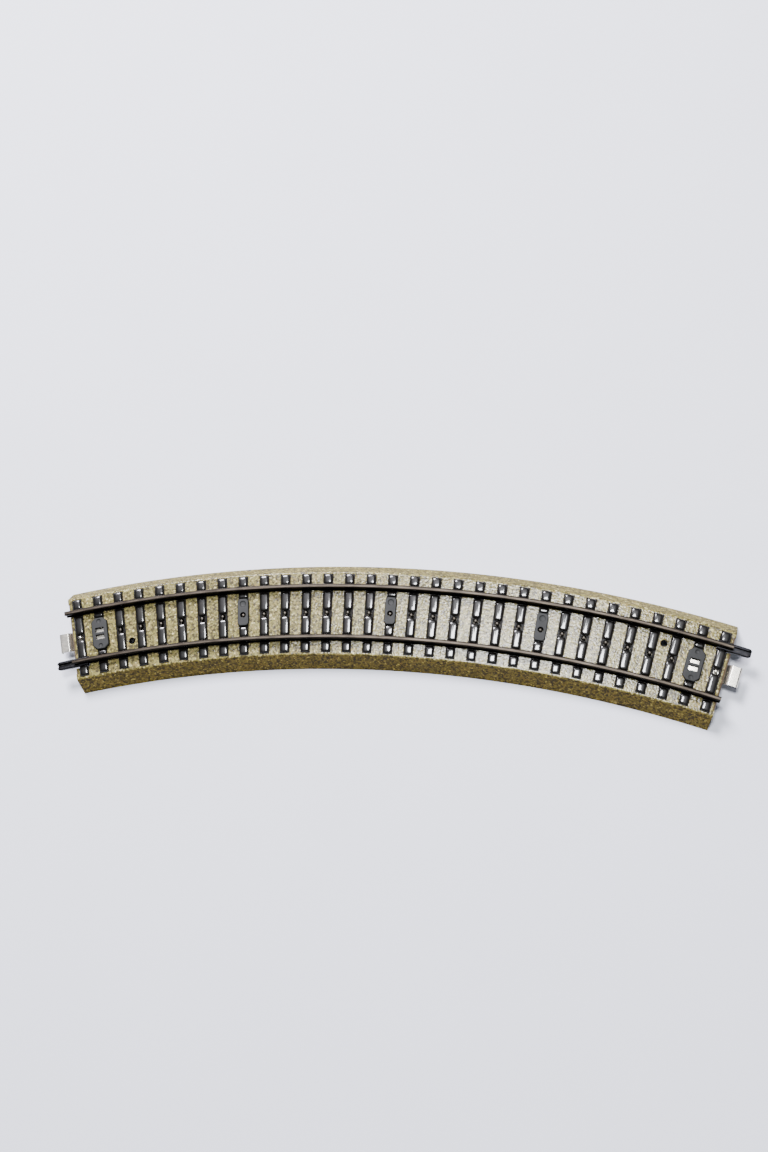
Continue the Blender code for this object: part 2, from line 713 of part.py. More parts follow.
def make_insulator(name, number, outline, hook_top, material):
    """Plate on the bed with hooked legs through it."""
    mesh_data = bmesh.new()
    angle = sleeper_angle(number)
    low = BED_HEIGHT + GAP
    plate_on_curve(mesh_data, angle, outline, low, low + PLATE_THICK)
    insulator = add_object(name, mesh_data, material)
    legs = bmesh.new()
    profile_on_curve(legs, angle, staple_profile(hook_top), LEG_WIDTH / 2.0)
    combine(insulator, legs, "UNION", "shape_legs_" + name)
    return insulator


def make_mid_insulator(index, number, material):
    """Narrow insulator in place of the middle of a sleeper, with a hole for its stud."""
    half = MID_WIDTH / 2.0
    outline = chamfered(-half, half, -MID_INNER, MID_OUTER, MID_CHAMFER)
    name = "mid_insulator_%d" % index
    insulator = make_insulator(name, number, outline, STRIP_BOTTOM - GAP, material)
    hole = bmesh.new()
    centre = on_curve(sleeper_angle(number), 0.0, 0.0)
    radius = STUD_HOLE / 2.0
    turned(hole, centre, ((radius, STRIP_TOP), (radius, BED_HEIGHT + GAP + 2.0 * PLATE_THICK)))
    combine(insulator, hole, "DIFFERENCE", "cut_stud_" + name)
    return insulator


def make_end_insulator(name, number, material):
    """Wide insulator near a bed end, with two windows over the contact pad."""
    half = END_WIDTH / 2.0
    long_half = END_LENGTH / 2.0
    outline = chamfered(-half, half, -long_half, long_half, END_CHAMFER)
    insulator = make_insulator(name, number, outline, PLATE_BOTTOM - GAP, material)
    windows = bmesh.new()
    for sign in (-1, 1):
        span = sorted((sign * WINDOW_BAR / 2.0, sign * PAD_HALF))
        plate_on_curve(windows, sleeper_angle(number), rectangle(WINDOW_WIDTH / 2.0, *span),
                       BED_HEIGHT, BED_HEIGHT + GAP + 2.0 * PLATE_THICK)
    combine(insulator, windows, "DIFFERENCE", "cut_windows_" + name)
    return insulator


# ------------------------------------------------------------ the assembly

def clear_scene():
    """Start from an empty scene."""
    for obj in list(bpy.data.objects):
        bpy.data.objects.remove(obj, do_unlink=True)


def centre_on_base(pieces):
    """Hang everything on one empty so that the origin is under the middle of the section."""
    bpy.context.view_layer.update()
    points = [obj.matrix_world @ v.co for obj in pieces for v in obj.data.vertices]
    low = [min(p[axis] for p in points) for axis in range(3)]
    high = [max(p[axis] for p in points) for axis in range(3)]
    frame = bpy.data.objects.new("section_frame", None)
    bpy.context.scene.collection.objects.link(frame)
    for obj in list(bpy.context.scene.collection.objects):
        if obj.type == "MESH":
            obj.parent = frame
    frame.location = (-(low[0] + high[0]) / 2.0, -(low[1] + high[1]) / 2.0, -low[2])


def main():
    """Build every piece of the section."""
    clear_scene()
    litho = finish("printed_tinplate", (0.36, 0.33, 0.19), 0.45, 0.0)
    rail_steel = finish("browned_rail_steel", (0.10, 0.08, 0.07), 0.4, 0.9)
    black_steel = finish("blackened_joiner_steel", (0.03, 0.03, 0.035), 0.35, 0.8)
    tinned = finish("tinned_strip_steel", (0.45, 0.43, 0.40), 0.4, 0.9)
    nickel = finish("nickel_silver", (0.62, 0.60, 0.54), 0.25, 1.0)
    plastic = finish("black_insulator_plastic", (0.03, 0.03, 0.035), 0.6, 0.0)
    brass = finish("rivet_brass", (0.50, 0.36, 0.14), 0.35, 1.0)

    pieces = [make_bed(litho)]
    for name, lead in (("inner_rail", LEFT), ("outer_rail", RIGHT)):
        pieces.append(make_rail(name, lead, rail_steel))
    pieces.append(make_strip(tinned))
    for index, number in enumerate(INSULATED_SLEEPERS, 1):
        pieces.append(make_mid_insulator(index, number, plastic))
    for word, side in (("left", LEFT), ("right", RIGHT)):
        number = 2 if side == LEFT else SLEEPERS - 1
        pieces.append(make_joiner(word + "_rail_joiner", side, black_steel))
        pieces.append(make_end_insulator(word + "_end_insulator", number, plastic))
        pieces.append(make_contact_plate(word + "_contact_plate", side, nickel))
        pieces.append(make_spring(word + "_contact_spring", side, nickel))
        strip_rivet = on_curve(inside_end(side, STRIP_RIVET_AT), 0.0, 0.0)
        pieces.append(make_rivet(word + "_strip_rivet", strip_rivet, STRIP_BOTTOM, PLATE_TOP, brass))
        spring_rivet = past_end(side, -SPRING_RIVET_AT, 0.0, 0.0)
        pieces.append(make_rivet(word + "_spring_rivet", spring_rivet,
                                 STRIP_TOP - SPRING_SHEET, PLATE_TOP, brass))
    centre_on_base(pieces)


main()
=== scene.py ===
"""Looks of a curved tinplate model railway track section with centre contact studs.

A pressed and printed sheet-steel bed carries embossed sleepers, two folded steel rails,
moulded insulators and, under the bed, a contact strip whose studs come up between the
sleeper halves.  A sprung leaf at each end carries the current to the next section.

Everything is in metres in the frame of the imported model.  Pieces that repeat round the
curve are modelled once at the top of the curve and turned to their places.
"""

import json
import logging
import math
from collections.abc import Callable, Iterable, Iterator, Sequence
from contextlib import contextmanager
from dataclasses import dataclass
from enum import Enum

import bmesh
import bpy
from mathutils import Matrix, Vector

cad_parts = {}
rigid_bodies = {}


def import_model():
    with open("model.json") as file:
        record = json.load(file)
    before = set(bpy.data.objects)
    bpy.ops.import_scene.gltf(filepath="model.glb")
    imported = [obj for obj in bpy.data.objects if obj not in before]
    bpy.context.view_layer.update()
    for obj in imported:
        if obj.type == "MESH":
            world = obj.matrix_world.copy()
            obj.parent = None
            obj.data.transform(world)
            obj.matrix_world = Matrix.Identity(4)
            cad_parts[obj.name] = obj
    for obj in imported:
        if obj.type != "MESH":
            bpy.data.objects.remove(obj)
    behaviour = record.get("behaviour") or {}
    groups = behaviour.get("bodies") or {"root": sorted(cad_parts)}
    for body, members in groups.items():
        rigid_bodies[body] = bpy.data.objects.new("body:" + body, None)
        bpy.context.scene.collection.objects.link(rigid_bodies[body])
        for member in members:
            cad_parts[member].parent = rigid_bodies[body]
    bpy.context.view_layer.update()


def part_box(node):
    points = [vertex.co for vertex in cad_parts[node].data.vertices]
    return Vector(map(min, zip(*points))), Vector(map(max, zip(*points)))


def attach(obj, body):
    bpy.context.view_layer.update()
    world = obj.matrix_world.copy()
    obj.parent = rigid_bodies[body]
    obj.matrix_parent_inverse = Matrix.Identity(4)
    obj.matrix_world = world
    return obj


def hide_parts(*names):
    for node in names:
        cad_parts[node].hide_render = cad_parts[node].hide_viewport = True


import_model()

MM = 0.001
TIDY = 0.001 * MM  # points nearer than this are one point
UP = (0.0, 0.0, 1.0)

Piece = bpy.types.Object
Material = bpy.types.Material
Tree = bpy.types.NodeTree
Node = bpy.types.Node
Socket = bpy.types.NodeSocket
Span = tuple[float, float]

log = logging.getLogger("track_section")


class End(Enum):
    """The two ends of the section."""

    LEFT = -1
    RIGHT = 1

    @property
    def word(self) -> str:
        """Name of the end in lower case."""
        return self.name.lower()


class Body(Enum):
    """The bodies that pieces ride on."""

    SECTION = "section"
    LEFT_CONTACT = "left_contact"
    RIGHT_CONTACT = "right_contact"


class Slot(Enum):
    """Material slots of the record."""

    PRINT = "printed_tinplate"
    RAIL = "browned_rail_steel"
    JOINER = "blackened_joiner_steel"
    STRIP = "tinned_strip_steel"
    NICKEL = "nickel_silver"
    PLASTIC = "black_insulator_plastic"
    BRASS = "rivet_brass"


# ------------------------------------------------------------- bench work


def activate(piece: Piece) -> None:
    """Leave one piece alone selected and active."""
    if bpy.context.object and bpy.context.object.mode != "OBJECT":
        bpy.ops.object.mode_set(mode="OBJECT")
    bpy.ops.object.select_all(action="DESELECT")
    piece.select_set(True)
    bpy.context.view_layer.objects.active = piece


@contextmanager
def editing(piece: Piece, kind: str = "FACE", whole: bool = False) -> Iterator[None]:
    """Work on a piece in edit mode.

    Args:
        piece: The piece to open.
        kind: What is selected: VERT, EDGE or FACE.
        whole: True starts with everything selected, otherwise nothing is.
    """
    activate(piece)
    bpy.ops.object.mode_set(mode="EDIT")
    bpy.ops.mesh.select_mode(type=kind)
    bpy.ops.mesh.select_all(action="SELECT" if whole else "DESELECT")
    yield
    bpy.ops.object.mode_set(mode="OBJECT")


def pick(piece: Piece, kind: str, test: Callable[..., bool]) -> None:
    """Select the points, edges or faces of a piece that pass a test.

    Args:
        piece: The piece, open in edit mode.
        kind: VERT, EDGE or FACE.
        test: Called with each element; true selects it.
    """
    bpy.ops.mesh.select_mode(type=kind)
    bpy.ops.mesh.select_all(action="DESELECT")
    shape = bmesh.from_edit_mesh(piece.data)
    for element in {"VERT": shape.verts, "EDGE": shape.edges, "FACE": shape.faces}[kind]:
        if test(element):
            element.select_set(True)
    bmesh.update_edit_mesh(piece.data)


def pull(move: Sequence[float]) -> None:
    """Extrude what is selected by a move."""
    bpy.ops.mesh.extrude_region_move(TRANSFORM_OT_translate={"value": move})


def make_sound() -> None:
    """Merge the doubled points of the open piece and turn all its faces outwards."""
    bpy.ops.mesh.select_all(action="SELECT")
    bpy.ops.mesh.remove_doubles(threshold=TIDY)
    bpy.ops.mesh.normals_make_consistent(inside=False)


def centre_of(edge: bmesh.types.BMEdge) -> Vector:
    """Middle of an edge."""
    return (edge.verts[0].co + edge.verts[1].co) / 2.0


def run_of(edge: bmesh.types.BMEdge) -> Vector:
    """Direction of an edge, with no sign."""
    line = (edge.verts[1].co - edge.verts[0].co).normalized()
    return Vector((abs(line.x), abs(line.y), abs(line.z)))


def settle_transform(piece: Piece) -> None:
    """Put a piece's place and size into its mesh."""
    activate(piece)
    bpy.ops.object.transform_apply(location=True, rotation=True, scale=True)


def scrap(piece: Piece) -> None:
    """Throw a piece away."""
    bpy.data.objects.remove(piece, do_unlink=True)


def draw_line(name: str, points: Sequence[Vector], closed: bool = False) -> Piece:
    """Draw a line point by point with the extrude tool.

    Args:
        name: Name of the new piece.
        points: The points of the line.
        closed: True joins the last point to the first and fills the outline.

    Returns:
        The line, or the filled outline.
    """
    bpy.ops.object.select_all(action="DESELECT")
    bpy.ops.mesh.primitive_plane_add(size=0.1 * MM, location=points[0])
    piece = bpy.context.object
    piece.name = name
    settle_transform(piece)
    stops = [*points, points[0]] if closed else list(points)
    with editing(piece, "VERT", whole=True):
        bpy.ops.mesh.merge(type="CENTER")
        for start, stop in zip(stops, stops[1:]):
            bpy.ops.mesh.extrude_vertices_move(TRANSFORM_OT_translate={"value": stop - start})
        bpy.ops.mesh.select_all(action="SELECT")
        bpy.ops.mesh.remove_doubles(threshold=TIDY)
        if closed:
            bpy.ops.mesh.edge_face_add()
    return piece


def sweep(piece: Piece, middle: Vector, angle: float, steps: int) -> None:
    """Spin a whole line or outline about an upright axis and make its faces point outwards.

    Args:
        piece: The line or filled outline.
        middle: A point on the axis.
        angle: Angle of the sweep, counted clockwise seen from above.
        steps: Steps of the sweep.
    """
    with editing(piece, "VERT", whole=True):
        bpy.ops.mesh.spin(steps=steps, angle=angle, center=middle, axis=UP)
        make_sound()


def draw_out(piece: Piece, move: Sequence[float]) -> None:
    """Extrude a whole line or outline along a straight way.

    Args:
        piece: The line or filled outline.
        move: How far and which way.
    """
    with editing(piece, "VERT", whole=True):
        pull(move)
        bpy.ops.mesh.select_all(action="SELECT")
        bpy.ops.mesh.normals_make_consistent(inside=False)


def turned(name: str, foot: Vector, profile: Sequence[Span], steps: int) -> Piece:
    """Round piece turned about an upright axis.

    Args:
        name: Name of the new piece.
        foot: Point on the axis at height zero.
        profile: (radius, height) points, from the axis at the bottom to the axis at the top.
        steps: Steps round the piece.

    Returns:
        The turned piece.
    """
    piece = draw_line(name, [foot + Vector((radius, 0.0, height)) for radius, height in profile])
    sweep(piece, foot, math.tau, steps)
    return piece


def drill(foot: Vector, radius: float, depth: Span, steps: int, tip: float = 1.0) -> Piece:
    """Round cutter on an upright axis.

    Args:
        foot: Point on the axis at height zero.
        radius: Radius of its upper end.
        depth: Heights of its lower and upper end.
        steps: Steps round the cutter.
        tip: Radius of its lower end as a share of the upper one.

    Returns:
        The cutter.
    """
    low, high = depth
    return turned("drill", foot, ((0.0, low), (radius * tip, low), (radius, high), (0.0, high)), steps)


def round_edges(piece: Piece, width: float, segments: int, test: Callable[..., bool]) -> None:
    """Bevel the edges of a piece that pass a test.

    Args:
        piece: The piece.
        width: Width of the bevel.
        segments: Segments of the bevel; one makes a chamfer.
        test: Called with each edge; true takes it in.
    """
    with editing(piece, "EDGE"):
        pick(piece, "EDGE", test)
        bpy.ops.mesh.bevel(offset=width, segments=segments, profile=0.5, affect="EDGES", clamp_overlap=True)


def finish_with(piece: Piece, kind: str, **settings: object) -> None:
    """Put a modifier on a piece and apply it.

    Args:
        piece: The piece.
        kind: Type of the modifier.
        **settings: Its settings.
    """
    activate(piece)
    modifier = piece.modifiers.new(kind.lower(), kind)
    for key, value in settings.items():
        setattr(modifier, key, value)
    bpy.ops.object.modifier_apply(modifier=modifier.name)


def soften(piece: Piece, width: float, degrees: float = 40.0) -> None:
    """Take the sharpness off every hard edge.

    Args:
        piece: The piece.
        width: Width of the bevel.
        degrees: Edges bent more than this count as hard.
    """
    limit = math.radians(degrees)
    finish_with(piece, "BEVEL", width=width, segments=2, limit_method="ANGLE", angle_limit=limit)


def thicken(piece: Piece, sheet: float, second_finish: bool = False) -> None:
    """Give a surface its sheet thickness, inwards from its outer face.

    Args:
        piece: The surface.
        sheet: Thickness of the sheet.
        second_finish: True puts the inner face and the cut rim in the second material.
    """
    shift = int(second_finish)
    finish_with(
        piece, "SOLIDIFY", thickness=sheet, offset=-1.0, use_even_offset=True, material_offset=shift,
        material_offset_rim=shift,
    )


def cut(piece: Piece, cutter: Piece) -> None:
    """Cut one closed shape out of a piece and throw the cutter away."""
    finish_with(piece, "BOOLEAN", operation="DIFFERENCE", solver="EXACT", use_self=True, object=cutter)
    scrap(cutter)


def copied(piece: Piece, place: Matrix) -> Piece:
    """Copy of a piece with its own mesh, moved to its place.

    Args:
        piece: The piece to copy.
        place: Where the copy goes.

    Returns:
        The copy.
    """
    twin = piece.copy()
    twin.data = piece.data.copy()
    twin.data.transform(place)
    bpy.context.scene.collection.objects.link(twin)
    return twin


def joined(name: str, pieces: Sequence[Piece]) -> Piece:
    """Make several shapes one piece.

    Args:
        name: Name of the piece.
        pieces: The shapes, the first of which stays.

    Returns:
        The piece.
    """
    activate(pieces[0])
    for piece in pieces:
        piece.select_set(True)
    bpy.ops.object.join()
    pieces[0].name = name
    return pieces[0]


def shade(piece: Piece, degrees: float) -> None:
    """Shade a piece smooth, keep its real edges and let its large faces stay flat.

    Args:
        piece: The piece.
        degrees: Edges bent more than this stay sharp.
    """
    activate(piece)
    bpy.ops.object.shade_smooth_by_angle(angle=math.radians(degrees))
    finish_with(piece, "WEIGHTED_NORMAL", mode="FACE_AREA", keep_sharp=True)


def rounded(points: Sequence[Span], radius: float, steps: int, closed: bool = False) -> list[Span]:
    """Round the corners of a line of points.

    Args:
        points: Corners of the line.
        radius: Radius of each corner, less where a side is short.
        steps: Steps of each arc.
        closed: True rounds the first and last corner as well.

    Returns:
        The points of the rounded line.
    """
    straight = math.radians(87.0)
    corners = [Vector(point) for point in points]
    line: list[Span] = []
    for i, corner in enumerate(corners):
        back = corners[i - 1] - corner
        ahead = corners[(i + 1) % len(corners)] - corner
        half_turn = back.angle(ahead) / 2.0
        if half_turn > straight or (not closed and i in (0, len(corners) - 1)):
            line.append((corner.x, corner.y))
            continue
        reach = min(radius / math.tan(half_turn), 0.45 * back.length, 0.45 * ahead.length)
        inwards = (back.normalized() + ahead.normalized()).normalized()
        heart = corner + inwards * (reach * math.tan(half_turn) / math.sin(half_turn))
        start = corner + back.normalized() * reach - heart
        swing = start.angle_signed(corner + ahead.normalized() * reach - heart)
        for k in range(steps + 1):
            spoke = start.copy()
            spoke.rotate(Matrix.Rotation(-swing * k / steps, 2))
            line.append((heart.x + spoke.x, heart.y + spoke.y))
    return line


# ------------------------------------------------------------------ the curve


@dataclass(frozen=True)
class Curve:
    """The curve that every piece follows.

    Places are given as a distance along the track, an offset outwards from the centre
    line and a height, at the top of the curve, and then turned round the curve.
    """

    middle: Vector
    radius: float
    half_arc: float = math.radians(15.0)
    sleepers: int = 31
    end_to_sleeper: float = 3.1 * MM

    @classmethod
    def of_bed(cls, half_base: float) -> "Curve":
        """Find the curve from the box of the bed.

        Args:
            half_base: Half the width of the bed at its base.

        Returns:
            The curve of the section's centre line.
        """
        low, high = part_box("track_bed")
        radius = (high.x - low.x) / 2.0 / math.sin(cls.half_arc) - half_base
        middle = Vector(((low.x + high.x) / 2.0, high.y - half_base - radius, 0.0))
        return cls(middle, radius)

    @property
    def pitch(self) -> float:
        """Angle from one sleeper to the next."""
        return 2.0 * (self.half_arc - self.end_to_sleeper / self.radius) / (self.sleepers - 1)

    @property
    def step(self) -> float:
        """Distance from one sleeper to the next on the centre line."""
        return self.pitch * self.radius

    def sleeper(self, number: float) -> Matrix:
        """Turn to a sleeper, counted from 1 at the left end."""
        return self.turn((number - (self.sleepers + 1) / 2.0) * self.pitch)

    def inside(self, end: End, distance: float) -> float:
        """Angle at a distance along the centre line inwards from an end."""
        return end.value * (self.half_arc - distance / self.radius)

    def from_end(self, end: End, steps: float) -> Matrix:
        """Turn to a place some sleeper steps inwards from an end's first sleeper."""
        return self.turn(self.inside(end, self.end_to_sleeper + steps * self.step))

    def top(self, along: float, offset: float, height: float) -> Vector:
        """Point at the top of the curve, before any turn."""
        return self.middle + Vector((along, self.radius + offset, height))

    def turn(self, angle: float) -> Matrix:
        """Turn about the middle of the curve, from its top to an angle."""
        hub = Matrix.Translation(self.middle)
        return hub @ Matrix.Rotation(-angle, 4, "Z") @ hub.inverted()

    def at_end(self, end: End) -> Matrix:
        """Turn a piece made for the right end, at the top of the curve, to an end.

        Args:
            end: The end where the piece goes.  The left one has it half turned round.

        Returns:
            The placing matrix.
        """
        place = self.turn(end.value * self.half_arc)
        if end is End.LEFT:
            hub = Matrix.Translation(self.top(0.0, 0.0, 0.0))
            place = place @ hub @ Matrix.Rotation(math.pi, 4, "Z") @ hub.inverted()
        return place

    def block(self, name: str, along: Span, across: Span, upright: Span) -> Piece:
        """Square block at the top of the curve, to be shaped further.

        Args:
            name: Name of the new piece.
            along: Where it starts and stops along the track.
            across: Its inner and outer offset.
            upright: Heights of its underside and its top.

        Returns:
            The block, with its place in its mesh.
        """
        low, high = (self.top(*corner) for corner in zip(along, across, upright))
        bpy.ops.object.select_all(action="DESELECT")
        bpy.ops.mesh.primitive_cube_add(size=1.0, location=(low + high) / 2.0, scale=high - low)
        piece = bpy.context.object
        piece.name = name
        settle_transform(piece)
        return piece

    def arched(
        self, name: str, outline: Sequence[Span], start: float, arc: float, steps: int, closed: bool
    ) -> Piece:
        """Sweep a section across the track round the curve.

        Args:
            name: Name of the new piece.
            outline: (offset, height) points of the section.
            start: Angle where it starts.
            arc: Angle that it covers.
            steps: Steps of the sweep.
            closed: True fills the section, which makes a closed bar.

        Returns:
            The swept piece.
        """
        place = self.turn(start)
        piece = draw_line(name, [place @ self.top(0.0, *point) for point in outline], closed)
        sweep(piece, self.middle, arc, steps)
        return piece

    def laid(self, piece: Piece, numbers: Iterable[float]) -> list[Piece]:
        """Copy a piece to several sleepers and throw the first one away.

        Args:
            piece: The piece at the top of the curve.
            numbers: The sleepers, counted from 1, or places between them.

        Returns:
            The copies.
        """
        copies = [copied(piece, self.sleeper(number)) for number in numbers]
        scrap(piece)
        return copies


# ------------------------------------------------------------ node wiring


def linear(code: str) -> tuple[float, float, float, float]:
    """Turn an sRGB hex colour such as "#8a7c55" into linear values.

    Args:
        code: The colour.

    Returns:
        Red, green, blue and full alpha.
    """
    channels = [int(code[i:i + 2], 16) / 255.0 for i in (1, 3, 5)]
    values = [c / 12.92 if c <= 0.04045 else ((c + 0.055) / 1.055) ** 2.4 for c in channels]
    return (*values, 1.0)


def feed(node: Node, links: dict[str | int, Node | Socket]) -> None:
    """Link other nodes to the inputs of a node.

    Args:
        node: The node to feed.
        links: Sources by input name or number; of a node, its first output in use is taken.
    """
    for key, source in links.items():
        if isinstance(source, Node):
            source = next(socket for socket in source.outputs if socket.enabled)
        node.id_data.links.new(source, node.inputs[key])


def add_node(tree: Tree, kind: str, settings: dict | None = None, links: dict | None = None) -> Node:
    """Add one node with its settings and links.

    Args:
        tree: The material's nodes.
        kind: Node type without its ShaderNode prefix.
        settings: Properties by name, sockets by name or number, or "stops" of a colour ramp.
        links: What feeds its sockets, by their name or number.

    Returns:
        The new node.
    """
    node = tree.nodes.new("ShaderNode" + kind)
    for key, value in (settings or {}).items():
        if key == "stops":
            stops = node.color_ramp.elements
            while len(stops) < len(value):
                stops.new(0.5)
            for stop, (position, colour) in zip(stops, value):
                stop.position = position
                stop.color = linear(colour)
        elif isinstance(key, str) and hasattr(node, key):
            setattr(node, key, value)
        else:
            node.inputs[key].default_value = value
    feed(node, links or {})
    return node


def blank(name: str, **sockets: float) -> tuple[Material, Tree, Node]:
    """New material with one shader whose fixed values are set on its own sockets.

    Args:
        name: Name of the material.
        **sockets: Shader sockets, with underscores for spaces.

    Returns:
        The material, its nodes and its shader.
    """
    material = bpy.data.materials.new(name)
    material.use_nodes = True
    tree = material.node_tree
    shader = tree.nodes["Principled BSDF"]
    for key, value in sockets.items():
        shader.inputs[key.replace("_", " ")].default_value = value
    return material, tree, shader


def in_millimetres(tree: Tree, stretch: tuple[float, float, float] = (1.0, 1.0, 1.0)) -> Node:
    """Object coordinates in millimetres, times a stretch along each axis."""
    place = add_node(tree, "TexCoord")
    scale = tuple(share / MM for share in stretch)
    return add_node(tree, "VectorMath", {"operation": "MULTIPLY", 1: scale}, {0: place.outputs["Object"]})


@dataclass(frozen=True)
class Surface:
    """How a finish varies in roughness and how deep its relief is."""

    roughness: Span
    strength: float
    depth: float  # in millimetres

    def dress(self, shader: Node, colour: Node, wear: Node | Socket, relief: Node) -> Node:
        """Feed colour, roughness and relief into a shader.

        Args:
            shader: The material's shader.
            colour: What gives the colour.
            wear: Pattern that varies the roughness.
            relief: Pattern that raises the surface.

        Returns:
            The relief's normals.
        """
        tree = shader.id_data
        low, high = self.roughness
        rough = add_node(tree, "MapRange", {"To Min": low, "To Max": high}, {0: wear})
        height = {"Height": relief}
        normals = add_node(tree, "Bump", {"Strength": self.strength, "Distance": self.depth * MM}, height)
        feed(shader, {"Base Color": colour, "Roughness": rough, "Normal": normals})
        return normals


@dataclass(frozen=True)
class TrackLines:
    """Coordinates that follow the curve, in millimetres."""

    along: Node
    offset: Node
    height: Node

    @classmethod
    def on(cls, tree: Tree, curve: Curve) -> "TrackLines":
        """Wire the coordinates of a curve into a material.

        Args:
            tree: The material's nodes.
            curve: The curve of the section.

        Returns:
            Distance along the track, offset from the centre line and height.
        """
        place = add_node(tree, "TexCoord")
        centring = {"operation": "SUBTRACT", 1: tuple(curve.middle)}
        centred = add_node(tree, "VectorMath", centring, {0: place.outputs["Object"]})
        x, y, z = add_node(tree, "SeparateXYZ", links={0: centred}).outputs
        angle = add_node(tree, "Math", {"operation": "ARCTAN2"}, {0: x, 1: y})
        along = add_node(tree, "Math", {"operation": "MULTIPLY", 1: curve.radius / MM}, {0: angle})
        level = add_node(tree, "CombineXYZ", links={0: x, 1: y})
        length = add_node(tree, "VectorMath", {"operation": "LENGTH"}, {0: level})
        outwards = {"operation": "MULTIPLY_ADD", 1: 1.0 / MM, 2: -curve.radius / MM}
        offset = add_node(tree, "Math", outwards, {0: length})
        height = add_node(tree, "Math", {"operation": "MULTIPLY", 1: 1.0 / MM}, {0: z})
        return cls(along, offset, height)

    def spread(self, tree: Tree, stretch: tuple[float, float, float] = (1.0, 1.0, 1.0)) -> Node:
        """The three coordinates as one vector, times a stretch."""
        vector = add_node(tree, "CombineXYZ", links={0: self.along, 1: self.offset, 2: self.height})
        return add_node(tree, "VectorMath", {"operation": "MULTIPLY", 1: stretch}, {0: vector})


# --------------------------------------------------------------- finishes


